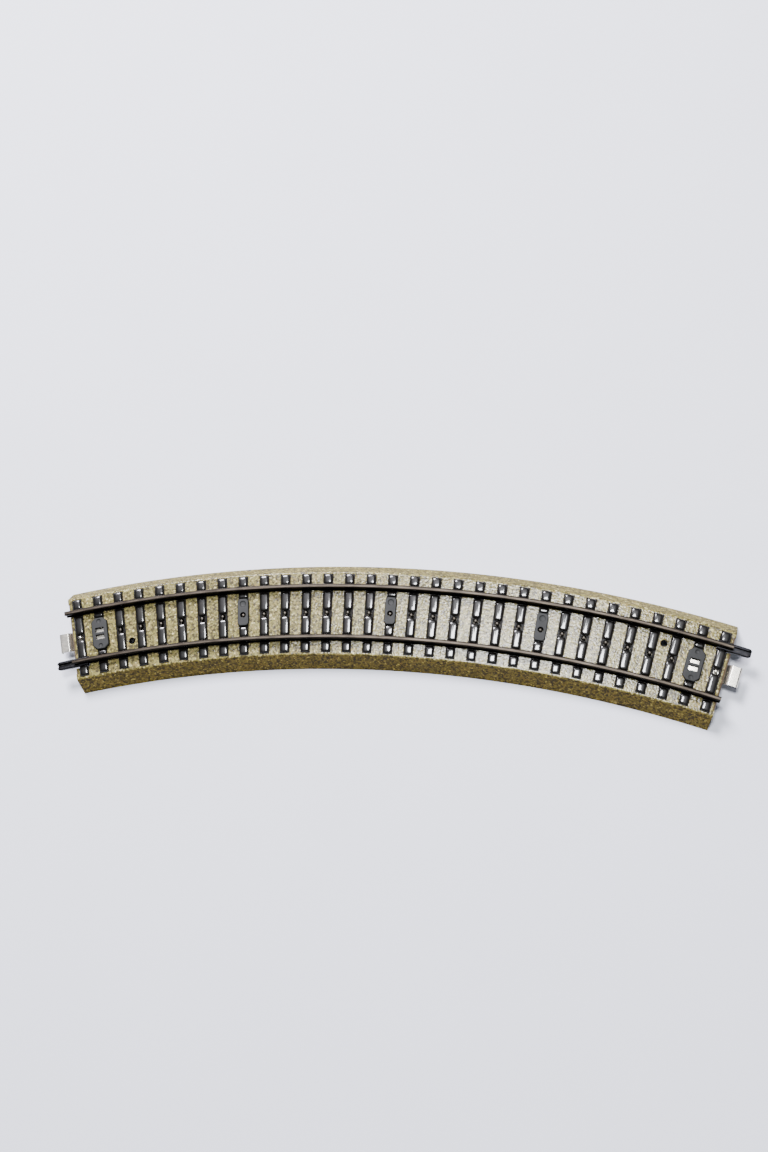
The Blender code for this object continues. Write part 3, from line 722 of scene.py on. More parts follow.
@dataclass(frozen=True)
class LithographedTinplate:
    """Tinplate printed with ballast and sleepers, then varnished.

    The ink gives small even stones in olive, straw and a little pink; the baked varnish
    over it is satin, with a fine hammered skin that breaks reflections into grains.
    """

    curve: Curve
    stone: float = 0.6  # size of a printed stone in mm
    grain: float = 0.28  # ink dots in mm, drawn coarser than the real halftone so that they show
    skin: float = 0.75  # hammered skin in mm
    sleeper_half: float = 1.78  # half the printed width under a sleeper, in mm
    sleeper_reach: float = 14.15  # printed sleeper end from the centre line, in mm
    bare_end: float = 0.55  # unprinted metal at each end, in mm
    fold_half: float = 12.8  # half the width of the folded end, in mm
    shoulder: Span = (6.4, 6.75)  # heights over which the slopes' painted shade and duller varnish give way to the top's
    slope_shade_tint: str = "#dccb8e"  # painted shade that browns and darkens the slopes: full on the inner slope, 0.3 on the outer one
    surface: Surface = Surface((0.5, 0.7), 1.0, 0.1)

    def material(self) -> Material:
        """Wire the finish and return its material."""
        material, tree, shader = blank("lithographed_tinplate", Coat_Roughness=0.14, Metallic=0.0)
        lines = TrackLines.on(tree, self.curve)
        plane = lines.spread(tree)
        low, high = self.shoulder
        slope = {"From Min": low, "From Max": high, "To Min": 1.0, "To Max": 0.0}
        side = add_node(tree, "MapRange", slope, {0: lines.height})
        inner = {"From Min": -1.0, "From Max": 1.0, "To Min": 1.0, "To Max": 0.3}
        inwards = add_node(tree, "MapRange", inner, {0: lines.offset})
        slope_shade_share = add_node(tree, "Math", {"operation": "MULTIPLY"}, {0: side, 1: inwards})
        # painted shade: the slopes are multiplied by a brown tint, fully on the inner slope and 0.3 on the
        # outer one, standing in for the shade they lie in
        shade_mix = {"data_type": "RGBA", "blend_type": "MULTIPLY", 7: linear(self.slope_shade_tint)}
        ballast = add_node(tree, "Mix", shade_mix, {0: slope_shade_share, 6: self.ballast(tree, plane)})
        black = self.sleeper_share(tree, lines)
        printed = add_node(tree, "Mix", {"data_type": "RGBA", 7: linear("#090705")}, {0: black, 6: ballast})
        bare = self.bare_share(tree, lines)
        full = add_node(tree, "Mix", {"data_type": "RGBA", 7: linear("#6e5c4a")}, {0: bare, 6: printed})
        gloss = add_node(tree, "TexNoise", {"Scale": 1.0 / 3.0, "Detail": 3.0}, {0: plane})
        hammering = {"Scale": 1.0 / self.skin, "Detail": 2.0, "Roughness": 0.45}
        hammered = add_node(tree, "TexNoise", hammering, {0: plane})
        normals = self.surface.dress(shader, full, gloss, hammered)
        metal = add_node(tree, "Math", {"operation": "MULTIPLY", 1: 0.75}, {0: bare})
        dull = add_node(tree, "Math", {"operation": "MAXIMUM"}, {0: black, 1: side})
        coat = add_node(tree, "MapRange", {"To Min": 0.5, "To Max": 0.04}, {0: dull})
        glint = add_node(tree, "MapRange", {"To Min": 0.25, "To Max": 0.1}, {0: dull})
        feed(shader, {"Metallic": metal, "Coat Weight": coat, "Specular IOR Level": glint})
        feed(shader, {"Coat Normal": normals})
        return material

    def ballast(self, tree: Tree, plane: Node) -> Node:
        """Colour of the printed stones, with dark joints, ink dots and a slow change of tone."""
        wander = add_node(tree, "TexNoise", {"Scale": 1.0 / self.stone, "Detail": 2.0}, {0: plane})
        shake = {"operation": "MULTIPLY_ADD", 1: (0.5, 0.5, 0.5)}
        shaken = add_node(tree, "VectorMath", shake, {0: wander.outputs["Color"], 2: plane})
        blurred = {"feature": "SMOOTH_F1", "Scale": 1.0 / self.stone, "Smoothness": 0.35}
        stones = add_node(tree, "TexVoronoi", blurred, {0: shaken})
        shares = add_node(tree, "SeparateColor", links={0: stones.outputs["Color"]})
        inks = ((0.0, "#332b0e"), (0.2, "#50471a"), (0.42, "#746c2e"), (0.66, "#938c4f"), (0.85, "#87743e"),
                (1.0, "#cbc48c"))
        stone_ink = add_node(tree, "ValToRGB", {"stops": inks}, {0: shares})
        rims = {"feature": "DISTANCE_TO_EDGE", "Scale": 1.0 / self.stone}
        rim = add_node(tree, "TexVoronoi", rims, {0: shaken})
        fade = {"From Min": 0.0, "From Max": 0.2, "To Min": 0.5, "To Max": 0.0}
        joint = add_node(tree, "MapRange", fade, {0: rim})
        jointed = add_node(tree, "Mix", {"data_type": "RGBA", 7: linear("#241b07")}, {0: joint, 6: stone_ink})
        dots = add_node(tree, "TexNoise", {"Scale": 1.0 / self.grain, "Detail": 1.0}, {0: plane})
        dot = add_node(tree, "MapRange", {"From Min": 0.55, "From Max": 0.68, "To Max": 0.5}, {0: dots})
        inked = add_node(tree, "Mix", {"data_type": "RGBA", 7: linear("#332909")}, {0: dot, 6: jointed})
        cloud = add_node(tree, "TexNoise", {"Scale": 1.0 / 9.0, "Detail": 2.0}, {0: plane})
        tone = add_node(tree, "MapRange", {"To Min": 0.88, "To Max": 1.1}, {0: cloud})
        toning = {"data_type": "RGBA", "blend_type": "MULTIPLY", 0: 1.0}
        return add_node(tree, "Mix", toning, {6: inked, 7: tone})

    def within(self, tree: Tree, limit: float, distance: Node) -> Node:
        """One below a distance in millimetres and zero past it, with a soft edge."""
        edge = {"From Min": limit - 0.06, "From Max": limit + 0.06, "To Min": 1.0, "To Max": 0.0}
        return add_node(tree, "MapRange", edge, {0: distance})

    def sleeper_share(self, tree: Tree, lines: TrackLines) -> Node:
        """One on the printed sleepers and zero on the ballast, with an edge that wavers a little."""
        waver = add_node(tree, "TexNoise", {"Scale": 1.0 / 0.9, "Detail": 1.0}, {0: lines.spread(tree)})
        shake = add_node(tree, "Math", {"operation": "MULTIPLY_ADD", 1: 0.3, 2: -0.15}, {0: waver})
        half_step = self.curve.step / MM / 2.0
        away = add_node(tree, "Math", {"operation": "PINGPONG", 1: half_step}, {0: lines.along})
        out = add_node(tree, "Math", {"operation": "ABSOLUTE"}, {0: lines.offset})
        shares = {}
        for number, (limit, distance) in enumerate(((self.sleeper_half, away), (self.sleeper_reach, out))):
            shaken = add_node(tree, "Math", {"operation": "ADD"}, {0: distance, 1: shake})
            shares[number] = self.within(tree, limit, shaken)
        return add_node(tree, "Math", {"operation": "MULTIPLY"}, shares)

    def bare_share(self, tree: Tree, lines: TrackLines) -> Node:
        """One on the unprinted metal of the folded ends and zero elsewhere."""
        reach = self.curve.half_arc * self.curve.radius / MM - self.bare_end
        far = add_node(tree, "Math", {"operation": "ABSOLUTE"}, {0: lines.along})
        ending = add_node(tree, "MapRange", {"From Min": reach - 0.12, "From Max": reach + 0.12}, {0: far})
        out = add_node(tree, "Math", {"operation": "ABSOLUTE"}, {0: lines.offset})
        folded = add_node(tree, "Math", {"operation": "LESS_THAN", 1: self.fold_half}, {0: out})
        return add_node(tree, "Math", {"operation": "MULTIPLY"}, {0: ending, 1: folded})


@dataclass(frozen=True)
class GlossBlackEnamel:
    """Black sleeper ink on pressed tinplate under gloss varnish.

    Near black, with a wet highlight along each crown and a rub of brown where vehicles
    and fingers have worn the crowns.
    """

    crown: float  # height of the crowns in metres

    def material(self) -> Material:
        """Wire the finish and return its material."""
        gloss = {"Coat_Weight": 1.0, "Coat_Roughness": 0.05, "Specular_IOR_Level": 0.2}
        material, tree, shader = blank("gloss_black_enamel", **gloss)
        plane = in_millimetres(tree)
        patch = add_node(tree, "TexNoise", {"Scale": 1.0 / 1.4, "Detail": 4.0}, {0: plane})
        blacks = ((0.3, "#050403"), (0.62, "#0d0b08"), (0.8, "#211b13"))
        tone = add_node(tree, "ValToRGB", {"stops": blacks}, {0: patch})
        place = add_node(tree, "TexCoord")
        parts = add_node(tree, "SeparateXYZ", links={0: place.outputs["Object"]})
        rub = {"From Min": self.crown - 0.12 * MM, "From Max": self.crown, "To Min": 0.24, "To Max": 0.34}
        rubbed = add_node(tree, "MapRange", rub, {0: parts.outputs["Z"]})
        skin = add_node(tree, "TexNoise", {"Scale": 1.0 / 0.9, "Detail": 2.0}, {0: plane})
        relief = add_node(tree, "Bump", {"Strength": 0.5, "Distance": 0.02 * MM}, {"Height": skin})
        feed(shader, {"Base Color": tone, "Roughness": rubbed, "Normal": relief})
        return material


@dataclass(frozen=True)
class BareTinplate:
    """Tinned steel sheet as rolled: dull grey with spangle, and brown specks of age."""

    spangle: float = 3.0  # size of the tin's crystals in mm
    surface: Surface = Surface((0.36, 0.55), 0.4, 0.03)

    def material(self) -> Material:
        """Wire the finish and return its material."""
        material, tree, shader = blank("bare_tinplate", Metallic=0.85)
        plane = in_millimetres(tree)
        crystal = add_node(tree, "TexVoronoi", {"Scale": 1.0 / self.spangle}, {0: plane})
        shares = add_node(tree, "SeparateColor", links={0: crystal.outputs["Color"]})
        greys = ((0.0, "#8b8881"), (0.5, "#93908a"), (1.0, "#9b988f"))
        tin = add_node(tree, "ValToRGB", {"stops": greys}, {0: shares})
        age = add_node(tree, "TexNoise", {"Scale": 1.0 / 1.6, "Detail": 6.0, "Roughness": 0.7}, {0: plane})
        aged = add_node(tree, "MapRange", {"From Min": 0.6, "From Max": 0.74, "To Max": 0.7}, {0: age})
        full = add_node(tree, "Mix", {"data_type": "RGBA", 7: linear("#5d4a34")}, {0: aged, 6: tin})
        self.surface.dress(shader, full, shares.outputs[1], age)
        return material


@dataclass(frozen=True)
class BrownedSteel:
    """Folded rail steel, chemically browned and worn grey where wheels run.

    The flanks stay nearly black; the running surface shows grey metal with fine
    scratches along the rail and brown left in the hollows.
    """

    curve: Curve
    crown: float = 10.0  # height of the running surface in mm
    offset: float = 9.0  # middle of each rail from the centre line, in mm
    worn_depth: float = 0.12  # how far down the flanks the wear reaches, in mm
    worn_half: float = 0.24  # half the width that wheels keep bright, in mm
    surface: Surface = Surface((0.3, 0.5), 0.4, 0.02)

    def material(self) -> Material:
        """Wire the finish and return its material."""
        material, tree, shader = blank("browned_steel", Metallic=0.9)
        lines = TrackLines.on(tree, self.curve)
        drawn = lines.spread(tree, (0.12, 6.0, 1.0))
        scratch = add_node(tree, "TexNoise", {"Scale": 1.0, "Detail": 5.0, "Roughness": 0.6}, {0: drawn})
        patch = add_node(tree, "TexNoise", {"Scale": 1.0 / 5.0, "Detail": 4.0}, {0: lines.spread(tree)})
        browns = ((0.3, "#0a0705"), (0.6, "#110d09"), (0.8, "#1c150e"))
        brown = add_node(tree, "ValToRGB", {"stops": browns}, {0: patch})
        greys = ((0.25, "#221d18"), (0.5, "#3b352e"), (0.75, "#60584e"))
        metal = add_node(tree, "ValToRGB", {"stops": greys}, {0: scratch})
        wear = {"From Min": self.crown - self.worn_depth, "From Max": self.crown - 0.05}
        high = add_node(tree, "MapRange", wear, {0: lines.height})
        side = add_node(tree, "Math", {"operation": "ABSOLUTE"}, {0: lines.offset})
        off_line = add_node(tree, "Math", {"operation": "SUBTRACT", 1: self.offset}, {0: side})
        away = add_node(tree, "Math", {"operation": "ABSOLUTE"}, {0: off_line})
        bright, dark = self.worn_half - 0.12, self.worn_half + 0.16
        tread = {"From Min": bright, "From Max": dark, "To Min": 1.0, "To Max": 0.12}
        trodden = add_node(tree, "MapRange", tread, {0: away})
        running = add_node(tree, "Math", {"operation": "MULTIPLY"}, {0: high, 1: trodden})
        rubbed = add_node(tree, "MapRange", {"From Min": 0.3, "From Max": 0.55, "To Min": 0.55}, {0: patch})
        worn = add_node(tree, "Math", {"operation": "MULTIPLY"}, {0: running, 1: rubbed})
        full = add_node(tree, "Mix", {"data_type": "RGBA"}, {0: worn, 6: brown, 7: metal})
        self.surface.dress(shader, full, scratch, scratch)
        return material


@dataclass(frozen=True)
class BlackenedSteel:
    """Spring steel blackened in oil: blue-black, satin, grey on the rubbed edges."""

    surface: Surface = Surface((0.28, 0.48), 0.35, 0.03)

    def material(self) -> Material:
        """Wire the finish and return its material."""
        material, tree, shader = blank("blackened_steel", Metallic=0.8)
        patches = {"Scale": 1.0 / 1.8, "Detail": 5.0, "Roughness": 0.6}
        patch = add_node(tree, "TexNoise", patches, {0: in_millimetres(tree)})
        blacks = ((0.35, "#0e0e11"), (0.58, "#1b1b1f"), (0.75, "#3f3b37"))
        tone = add_node(tree, "ValToRGB", {"stops": blacks}, {0: patch})
        self.surface.dress(shader, tone, patch, patch)
        return material


@dataclass(frozen=True)
class RolledMetal:
    """Thin rolled metal: strip, springs and rivets.

    Rolling leaves fine lines along the strip; handling leaves soft stains.
    """

    name: str
    light: str
    middle: str
    stain: str
    roughness: float
    lines_per_mm: float = 5.0

    def material(self) -> Material:
        """Wire the finish and return its material."""
        material, tree, shader = blank(self.name, Metallic=0.95)
        rolled = in_millimetres(tree, (0.25, self.lines_per_mm, 1.0))
        line = add_node(tree, "TexNoise", {"Scale": 1.0, "Detail": 4.0}, {0: rolled})
        colour = add_node(tree, "ValToRGB", {"stops": ((0.3, self.middle), (0.7, self.light))}, {0: line})
        patch = add_node(tree, "TexNoise", {"Scale": 1.0 / 1.5, "Detail": 4.0}, {0: in_millimetres(tree)})
        share = add_node(tree, "MapRange", {"From Min": 0.56, "From Max": 0.74, "To Max": 0.75}, {0: patch})
        full = add_node(tree, "Mix", {"data_type": "RGBA", 7: linear(self.stain)}, {0: share, 6: colour})
        surface = Surface((self.roughness - 0.07, self.roughness + 0.12), 0.3, 0.015)
        surface.dress(shader, full, patch, line)
        return material


@dataclass(frozen=True)
class MouldedPhenolic:
    """Moulded black insulating plastic: matt, charcoal, with a sparked mould texture."""

    texture: float = 0.22  # mould texture in mm
    surface: Surface = Surface((0.5, 0.68), 0.5, 0.03)

    def material(self) -> Material:
        """Wire the finish and return its material."""
        material, tree, shader = blank("moulded_phenolic", IOR=1.55, Specular_IOR_Level=0.3)
        plane = in_millimetres(tree)
        patch = add_node(tree, "TexNoise", {"Scale": 1.0 / 2.0, "Detail": 4.0}, {0: plane})
        blacks = ((0.3, "#0a0c0c"), (0.6, "#101312"), (0.8, "#191b1a"))
        tone = add_node(tree, "ValToRGB", {"stops": blacks}, {0: patch})
        spark = add_node(tree, "TexNoise", {"Scale": 1.0 / self.texture, "Detail": 2.0}, {0: plane})
        self.surface.dress(shader, tone, patch, spark)
        return material


@dataclass(frozen=True)
class PaleBoard:
    """Matt white board under the section, faintly mottled."""

    colour: str = "#e4e7f1"

    def material(self) -> Material:
        """Wire the finish and return its material."""
        material, tree, shader = blank("pale_board", Roughness=0.75)
        mottle = add_node(tree, "TexNoise", {"Scale": 1.0 / 60.0, "Detail": 3.0}, {0: in_millimetres(tree)})
        tone = add_node(tree, "MapRange", {"To Min": 0.97, "To Max": 1.02}, {0: mottle})
        toning = {"data_type": "RGBA", "blend_type": "MULTIPLY", 0: 1.0, 6: linear(self.colour)}
        feed(shader, {"Base Color": add_node(tree, "Mix", toning, {7: tone})})
        return material


@dataclass(frozen=True)
class Finishes:
    """Materials of the section, each made once."""

    by_slot: dict[Slot, Material]
    enamel: Material
    bare: Material

    @classmethod
    def on(cls, curve: Curve) -> "Finishes":
        """Make every material.

        Args:
            curve: The curve of the section.

        Returns:
            The main material of each slot, and the two others that the bed takes.
        """
        strip = RolledMetal("tinned_strip", "#4d4943", "#3a3731", "#272118", 0.42)
        nickel = RolledMetal("rolled_nickel_silver", "#dedad0", "#c6c2b6", "#9b937f", 0.22)
        brass = RolledMetal("turned_brass", "#c9a45c", "#a5833f", "#6b5428", 0.33)
        kinds = {
            Slot.PRINT: LithographedTinplate(curve),
            Slot.RAIL: BrownedSteel(curve),
            Slot.JOINER: BlackenedSteel(),
            Slot.STRIP: strip,
            Slot.NICKEL: nickel,
            Slot.PLASTIC: MouldedPhenolic(),
            Slot.BRASS: brass,
        }
        made = {slot: finish.material() for slot, finish in kinds.items()}
        return cls(made, GlossBlackEnamel(crown=7.5 * MM).material(), BareTinplate().material())


# ------------------------------------------------------------- the pieces


@dataclass
class SubAssembly:
    """What every sub-assembly works with."""

    curve: Curve
    finishes: Finishes

    def hang(self, piece: Piece, slot: Slot, node: str = "", body: Body = Body.SECTION) -> None:
        """Dress a finished piece, unless it has its materials already, and hang it on its body.

        Args:
            piece: The finished piece.
            slot: The record's slot that it takes its finish from.
            node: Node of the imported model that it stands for, if any.
            body: The body that it moves with.
        """
        if not piece.data.materials:
            piece.data.materials.append(self.finishes.by_slot[slot])
        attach(piece, body.value)
        if node:
            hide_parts(node)
        log.info("%s: %d faces on %s", piece.name, len(piece.data.polygons), body.value)


@dataclass
class Bed(SubAssembly):
    """Pressed sheet-steel bed with embossed sleepers and folded-down ends."""

    sheet: float = 0.4 * MM
    height: float = 6.8 * MM
    half_top: float = 14.8 * MM
    half_base: float = 18.6 * MM
    shoulder: float = 0.7 * MM
    fold_radius: float = 0.8 * MM
    fold_depth: float = 0.6 * MM
    fold_half: float = 12.8 * MM
    sweep_steps: int = 120
    bar_width: float = 3.0 * MM
    bar_rise: float = 0.7 * MM
    bar_end: float = 0.7 * MM
    # rings of the bar's crown: how far in from its side and how far below its top, in mm
    bar_crown: tuple[Span, ...] = ((0.0, 0.45), (0.1, 0.22), (0.32, 0.09), (0.75, 0.022), (1.2, 0.0))
    bar_wall: float = 0.35 * MM
    bar_reach: float = 14.0 * MM
    rail_gap: Span = (7.75 * MM, 10.25 * MM)
    bar_stops: Span = (-1.1 * MM, 1.1 * MM)
    mid_stops: Span = (-4.15 * MM, 6.2 * MM)
    end_stops: Span = (-6.1 * MM, 6.1 * MM)
    stud_hole: float = 2.0 * MM
    nail_hole: float = 2.5 * MM
    nail_offset: float = 4.5 * MM
    nail_steps: float = 2.5
    nail_rim: float = 0.14 * MM
    insulated: tuple[int, ...] = (9, 16, 23)

    @property
    def under(self) -> float:
        """Height of the underside of the sheet."""
        return self.height - self.sheet

    @property
    def through(self) -> Span:
        """Heights between which a cutter passes through the sheet."""
        return (self.under - 0.3 * MM, self.height + 0.3 * MM)

    def is_end(self, number: int) -> bool:
        """Whether a sleeper carries an end insulator."""
        return number in (2, self.curve.sleepers - 1)

    def bar_spans(self, number: int) -> list[Span]:
        """Offsets between which the bars of one sleeper run.

        Args:
            number: The sleeper, counted from 1.

        Returns:
            Inner and outer offset of each bar.
        """
        near, past = self.rail_gap
        inner, outer = self.mid_stops if number in self.insulated else self.bar_stops
        if self.is_end(number):
            inner, outer = self.end_stops
        return [(-self.bar_reach, -past), (-near, inner), (outer, near), (past, self.bar_reach)]

    def for_each_bar(self, make: Callable[[float, float], Piece]) -> list[Piece]:
        """Make one shape for each length of bar and copy it to every such bar.

        Args:
            make: Makes the shape at the top of the curve from a bar's inner and outer offset.

        Returns:
            The shapes, one for each bar.
        """
        masters: dict[Span, Piece] = {}
        shapes = []
        for number in range(1, self.curve.sleepers + 1):
            for span in self.bar_spans(number):
                if span not in masters:
                    masters[span] = make(*span)
                shapes.append(copied(masters[span], self.curve.sleeper(number)))
        for master in masters.values():
            scrap(master)
        return shapes

    def bar(self, low: float, high: float) -> Piece:
        """One embossed bar at the top of the curve: round ends, domed top, bare hollow below.

        Args:
            low: Offset of its inner end.
            high: Offset of its outer end.

        Returns:
            The bar.
        """
        half, long = self.bar_width / 2.0, (high - low) / 2.0
        share = min(1.0, long / half)
        first = self.height + self.bar_rise - self.bar_crown[0][1] * MM
        piece = self.curve.block("bar", (-half, half), (low, high), (self.under + 0.02 * MM, first))
        round_edges(piece, self.bar_end * share, 2, lambda edge: run_of(edge).z > 0.9)
        middle = self.curve.top(0.0, (low + high) / 2.0, 0.0)
        piece.data.materials.append(self.finishes.enamel)
        piece.data.materials.append(self.finishes.bare)
        with editing(piece):
            pick(piece, "FACE", lambda face: face.normal.z > 0.99)
            for (inset, drop), (deeper, rise) in zip(self.bar_crown, self.bar_crown[1:]):
                pull((0.0, 0.0, (drop - rise) * MM))
                across = (half - deeper * MM * share) / (half - inset * MM * share)
                lengthways = (long - deeper * MM * share) / (long - inset * MM * share)
                bpy.ops.transform.resize(value=(across, lengthways, 1.0), center_override=middle)
            pick(piece, "FACE", lambda face: face.normal.z < -0.9)
            bpy.ops.mesh.inset(thickness=self.bar_wall)
            pull((0.0, 0.0, self.bar_rise * 0.8))
            bpy.ops.mesh.select_more()
            piece.active_material_index = 1
            bpy.ops.object.material_slot_assign()
            bpy.ops.mesh.select_all(action="SELECT")
            bpy.ops.mesh.normals_make_consistent(inside=False)
        activate(piece)
        bpy.ops.object.shade_smooth_by_angle(angle=math.radians(60.0))
        return piece

    def slot_cutter(self, low: float, high: float) -> Piece:
        """Cutter for the opening below one bar.

        Args:
            low: Offset of the bar's inner end.
            high: Offset of its outer end.

        Returns:
            The cutter at the top of the curve.
        """
        half = self.bar_width / 2.0 - self.bar_wall
        across = (low + self.bar_wall, high - self.bar_wall)
        return self.curve.block("slot", (-half, half), across, self.through)

    def section_line(self) -> list[Span]:
        """Outer line of the pressing across the track, from base to base."""
        right = [(self.half_top, self.height), (self.half_base, 0.0)]
        line = rounded([(-o, h) for o, h in reversed(right)] + right, self.shoulder, 5)
        middle = len(line) // 2
        return line[:middle] + [(-self.fold_half, self.height), (self.fold_half, self.height)] + line[middle:]

    def pressing(self) -> Piece:
        """The sheet itself, swept round the curve with its ends folded down."""
        start = -self.curve.half_arc + self.fold_radius / self.curve.radius
        line = self.section_line()
        piece = self.curve.arched("bed_pressing", line, start, -2.0 * start, self.sweep_steps, False)
        for end in End:
            self.fold_end(piece, end)
        with editing(piece, "VERT"):
            make_sound()
        return piece

    def trim_base(self, piece: Piece) -> None:
        """Cut the sheet level where its edge stands on the ground."""

        def grounded(face: bmesh.types.BMFace) -> bool:
            """Whether a face lies on the ground."""
            return face.normal.z < -0.99 and face.calc_center_median().z < 0.01 * MM

        with editing(piece, "VERT", whole=True):
            bpy.ops.mesh.bisect(plane_co=(0.0, 0.0, 0.0), plane_no=UP, use_fill=True, clear_inner=True)
            pick(piece, "FACE", grounded)
            piece.active_material_index = 1
            bpy.ops.object.material_slot_assign()

    def fold_end(self, piece: Piece, end: End) -> None:
        """Fold the top down and draw the slopes out at one end of the swept sheet.

        Args:
            piece: The swept sheet.
            end: The end to work on.
        """
        swing = self.fold_radius / self.curve.radius
        place = self.curve.turn(end.value * (self.curve.half_arc - swing))
        unturn = place.inverted()
        crest = self.curve.top(0.0, 0.0, 0.0)

        def at_end(edge: bmesh.types.BMEdge) -> bool:
            """Whether an edge lies on the end of the sheet."""
            return all(abs((unturn @ v.co).x - crest.x) < 0.02 * MM for v in edge.verts)

        def offset_of(edge: bmesh.types.BMEdge) -> float:
            """Distance of an edge from the centre line."""
            return abs((unturn @ centre_of(edge)).y - crest.y)

        def folds(edge: bmesh.types.BMEdge) -> bool:
            """Whether an edge belongs to the folded middle of the end."""
            return at_end(edge) and offset_of(edge) < self.fold_half and centre_of(edge).z > self.under

        across = (place.to_3x3() @ Vector((0.0, 1.0, 0.0))).normalized()
        hinge = place @ self.curve.top(0.0, 0.0, self.height - self.fold_radius)
        with editing(piece, "EDGE"):
            pick(piece, "EDGE", lambda edge: at_end(edge) and offset_of(edge) > self.fold_half)
            bpy.ops.mesh.spin(steps=1, angle=end.value * swing, center=self.curve.middle, axis=UP)
            pick(piece, "EDGE", folds)
            bpy.ops.mesh.spin(steps=5, angle=-end.value * math.pi / 2.0, center=hinge, axis=across)
            bpy.ops.mesh.extrude_edges_move(TRANSFORM_OT_translate={"value": (0.0, 0.0, -self.fold_depth)})

    def openings(self) -> Piece:
        """Everything punched through the sheet, as one cutter."""
        tools = self.for_each_bar(self.slot_cutter)
        foot = self.curve.top(0.0, 0.0, 0.0)
        studded = [n for n in range(1, self.curve.sleepers + 1) if not self.is_end(n)]
        tools += self.curve.laid(drill(foot, self.stud_hole / 2.0, self.through, 16), studded)
        for end in End:
            nail_foot = self.curve.top(0.0, end.value * self.nail_offset, 0.0)
            nail = drill(nail_foot, self.nail_hole / 2.0, self.through, 24)
            nail.data.transform(self.curve.from_end(end, self.nail_steps))
            heights = (self.under - 2.0 * MM, self.through[1])
            mouth = self.curve.block("mouth", (-5.3 * MM, 1.0 * MM), (7.15 * MM, 10.85 * MM), heights)
            mouth.data.transform(self.curve.at_end(end))
            pad = self.curve.block("pad", (-2.1 * MM, 2.1 * MM), (-2.4 * MM, 2.4 * MM), self.through)
            pad.data.transform(self.curve.from_end(end, 1.0))
            tools += [nail, mouth, pad]
        return joined("openings", tools)

    def eyelet(self, end: End) -> None:
        """Plain pressed rim round a nail hole.

        Args:
            end: The end that the hole is near.
        """
        foot = self.curve.top(0.0, end.value * self.nail_offset, 0.0)
        middle = Vector((foot.x + self.nail_hole / 2.0 + self.nail_rim * 0.6, foot.y, self.height))
        turns = [math.tau * k / 8 for k in range(8)]
        ring = [middle + self.nail_rim * Vector((math.cos(t), 0.0, 0.55 * math.sin(t))) for t in turns]
        piece = draw_line(f"{end.word}_nail_rim", ring, closed=True)
        sweep(piece, foot, math.tau, 32)
        with editing(piece):
            pick(piece, "FACE", lambda face: len(face.verts) > 4)
            bpy.ops.mesh.delete(type="ONLY_FACE")
        piece.data.transform(self.curve.from_end(end, self.nail_steps))
        shade(piece, 60.0)
        self.hang(piece, Slot.PRINT)

    def build(self) -> None:
        """Model the bed and its sleepers and hang them on the section."""
        sheet = self.pressing()
        sheet.data.materials.append(self.finishes.by_slot[Slot.PRINT])
        sheet.data.materials.append(self.finishes.bare)
        thicken(sheet, self.sheet, second_finish=True)
        self.trim_base(sheet)
        cut(sheet, self.openings())
        shade(sheet, 30.0)
        self.hang(sheet, Slot.PRINT, "track_bed")
        self.hang(joined("embossed_sleepers", self.for_each_bar(self.bar)), Slot.PRINT)
        for end in End:
            self.eyelet(end)


@dataclass
class Rail(SubAssembly):
    """Folded steel rail with the lugs that hold it in the bed."""

    name: str
    lead: int  # 1 for the outer rail, -1 for the inner one
    offset: float = 9.0 * MM
    foot_z: float = 7.1 * MM
    rise: float = 2.9 * MM
    head: float = 1.5 * MM
    head_depth: float = 0.75 * MM
    web: float = 0.8 * MM
    foot: float = 1.9 * MM
    sheet: float = 0.3 * MM
    crown: float = 0.5 * MM
    overhang: float = 0.8 * MM
    lugs: int = 6
    lug_length: float = 3.0 * MM
    lug_reach: float = 1.2 * MM
    lug_top: float = 6.1 * MM

    def profile(self) -> list[Span]:
        """Section of the folded sheet, with the slit that the fold leaves."""
        half_foot, half_web, half_head = self.foot / 2.0, self.web / 2.0, self.head / 2.0
        slit = half_web - self.sheet
        neck = self.rise - self.head_depth
        throat = neck - (half_head - half_web)
        foot = [(slit, 0.0), (half_foot, 0.0), (half_foot, self.sheet), (half_web, self.sheet * 1.5)]
        head = [(half_web, throat), (half_head, neck), (half_head, self.rise), (0.0, self.rise)]
        right = rounded(foot + head, self.crown, 4)[:-1]
        inner = half_head - self.sheet
        cavity = [(inner, self.rise - self.sheet * 1.4), (inner, neck), (slit, throat)]
        return right + [(-o, h) for o, h in reversed(right)] + [(-o, h) for o, h in reversed(cavity)] + cavity

    def lug(self) -> Piece:
        """One lug at the top of the curve, down from the foot and folded outwards."""
        outer = self.lead * (self.offset + self.foot / 2.0 - 0.2 * MM)
        across = tuple(sorted((outer, outer - self.lead * self.sheet)))
        half = self.lug_length / 2.0
        heights = (self.lug_top - self.sheet, self.foot_z + 0.1 * MM)
        piece = self.curve.block("lug", (-half, half), across, heights)

        def outward(face: bmesh.types.BMFace) -> bool:
            """Whether a face is on the outer side of the lug's foot."""
            return face.normal.y * self.lead > 0.9 and face.calc_center_median().z < self.lug_top

        with editing(piece, whole=True):
            bpy.ops.mesh.bisect(plane_co=self.curve.top(0.0, 0.0, self.lug_top), plane_no=UP)
            pick(piece, "FACE", outward)
            pull((0.0, self.lead * self.lug_reach, 0.0))
        soften(piece, 0.08 * MM)
        return piece

    def build(self) -> None:
        """Sweep the rail, add its lugs and hang it on the section."""
        middle = self.lead * self.offset
        reach = self.overhang / (self.curve.radius + middle)
        start = -self.curve.half_arc - (reach if self.lead > 0 else 0.0)
        outline = [(middle + o, self.foot_z + h) for o, h in self.profile()]
        rail = self.curve.arched(self.name, outline, start, 2.0 * self.curve.half_arc + reach, 80, True)
        shade(rail, 30.0)
        gap = (self.curve.sleepers - 1) / self.lugs
        lugs = self.curve.laid(self.lug(), [1.0 + gap * (k + 0.5) for k in range(self.lugs)])
        node = "outer_rail" if self.lead > 0 else "inner_rail"
        self.hang(joined(self.name, [rail, *lugs]), Slot.RAIL, node)


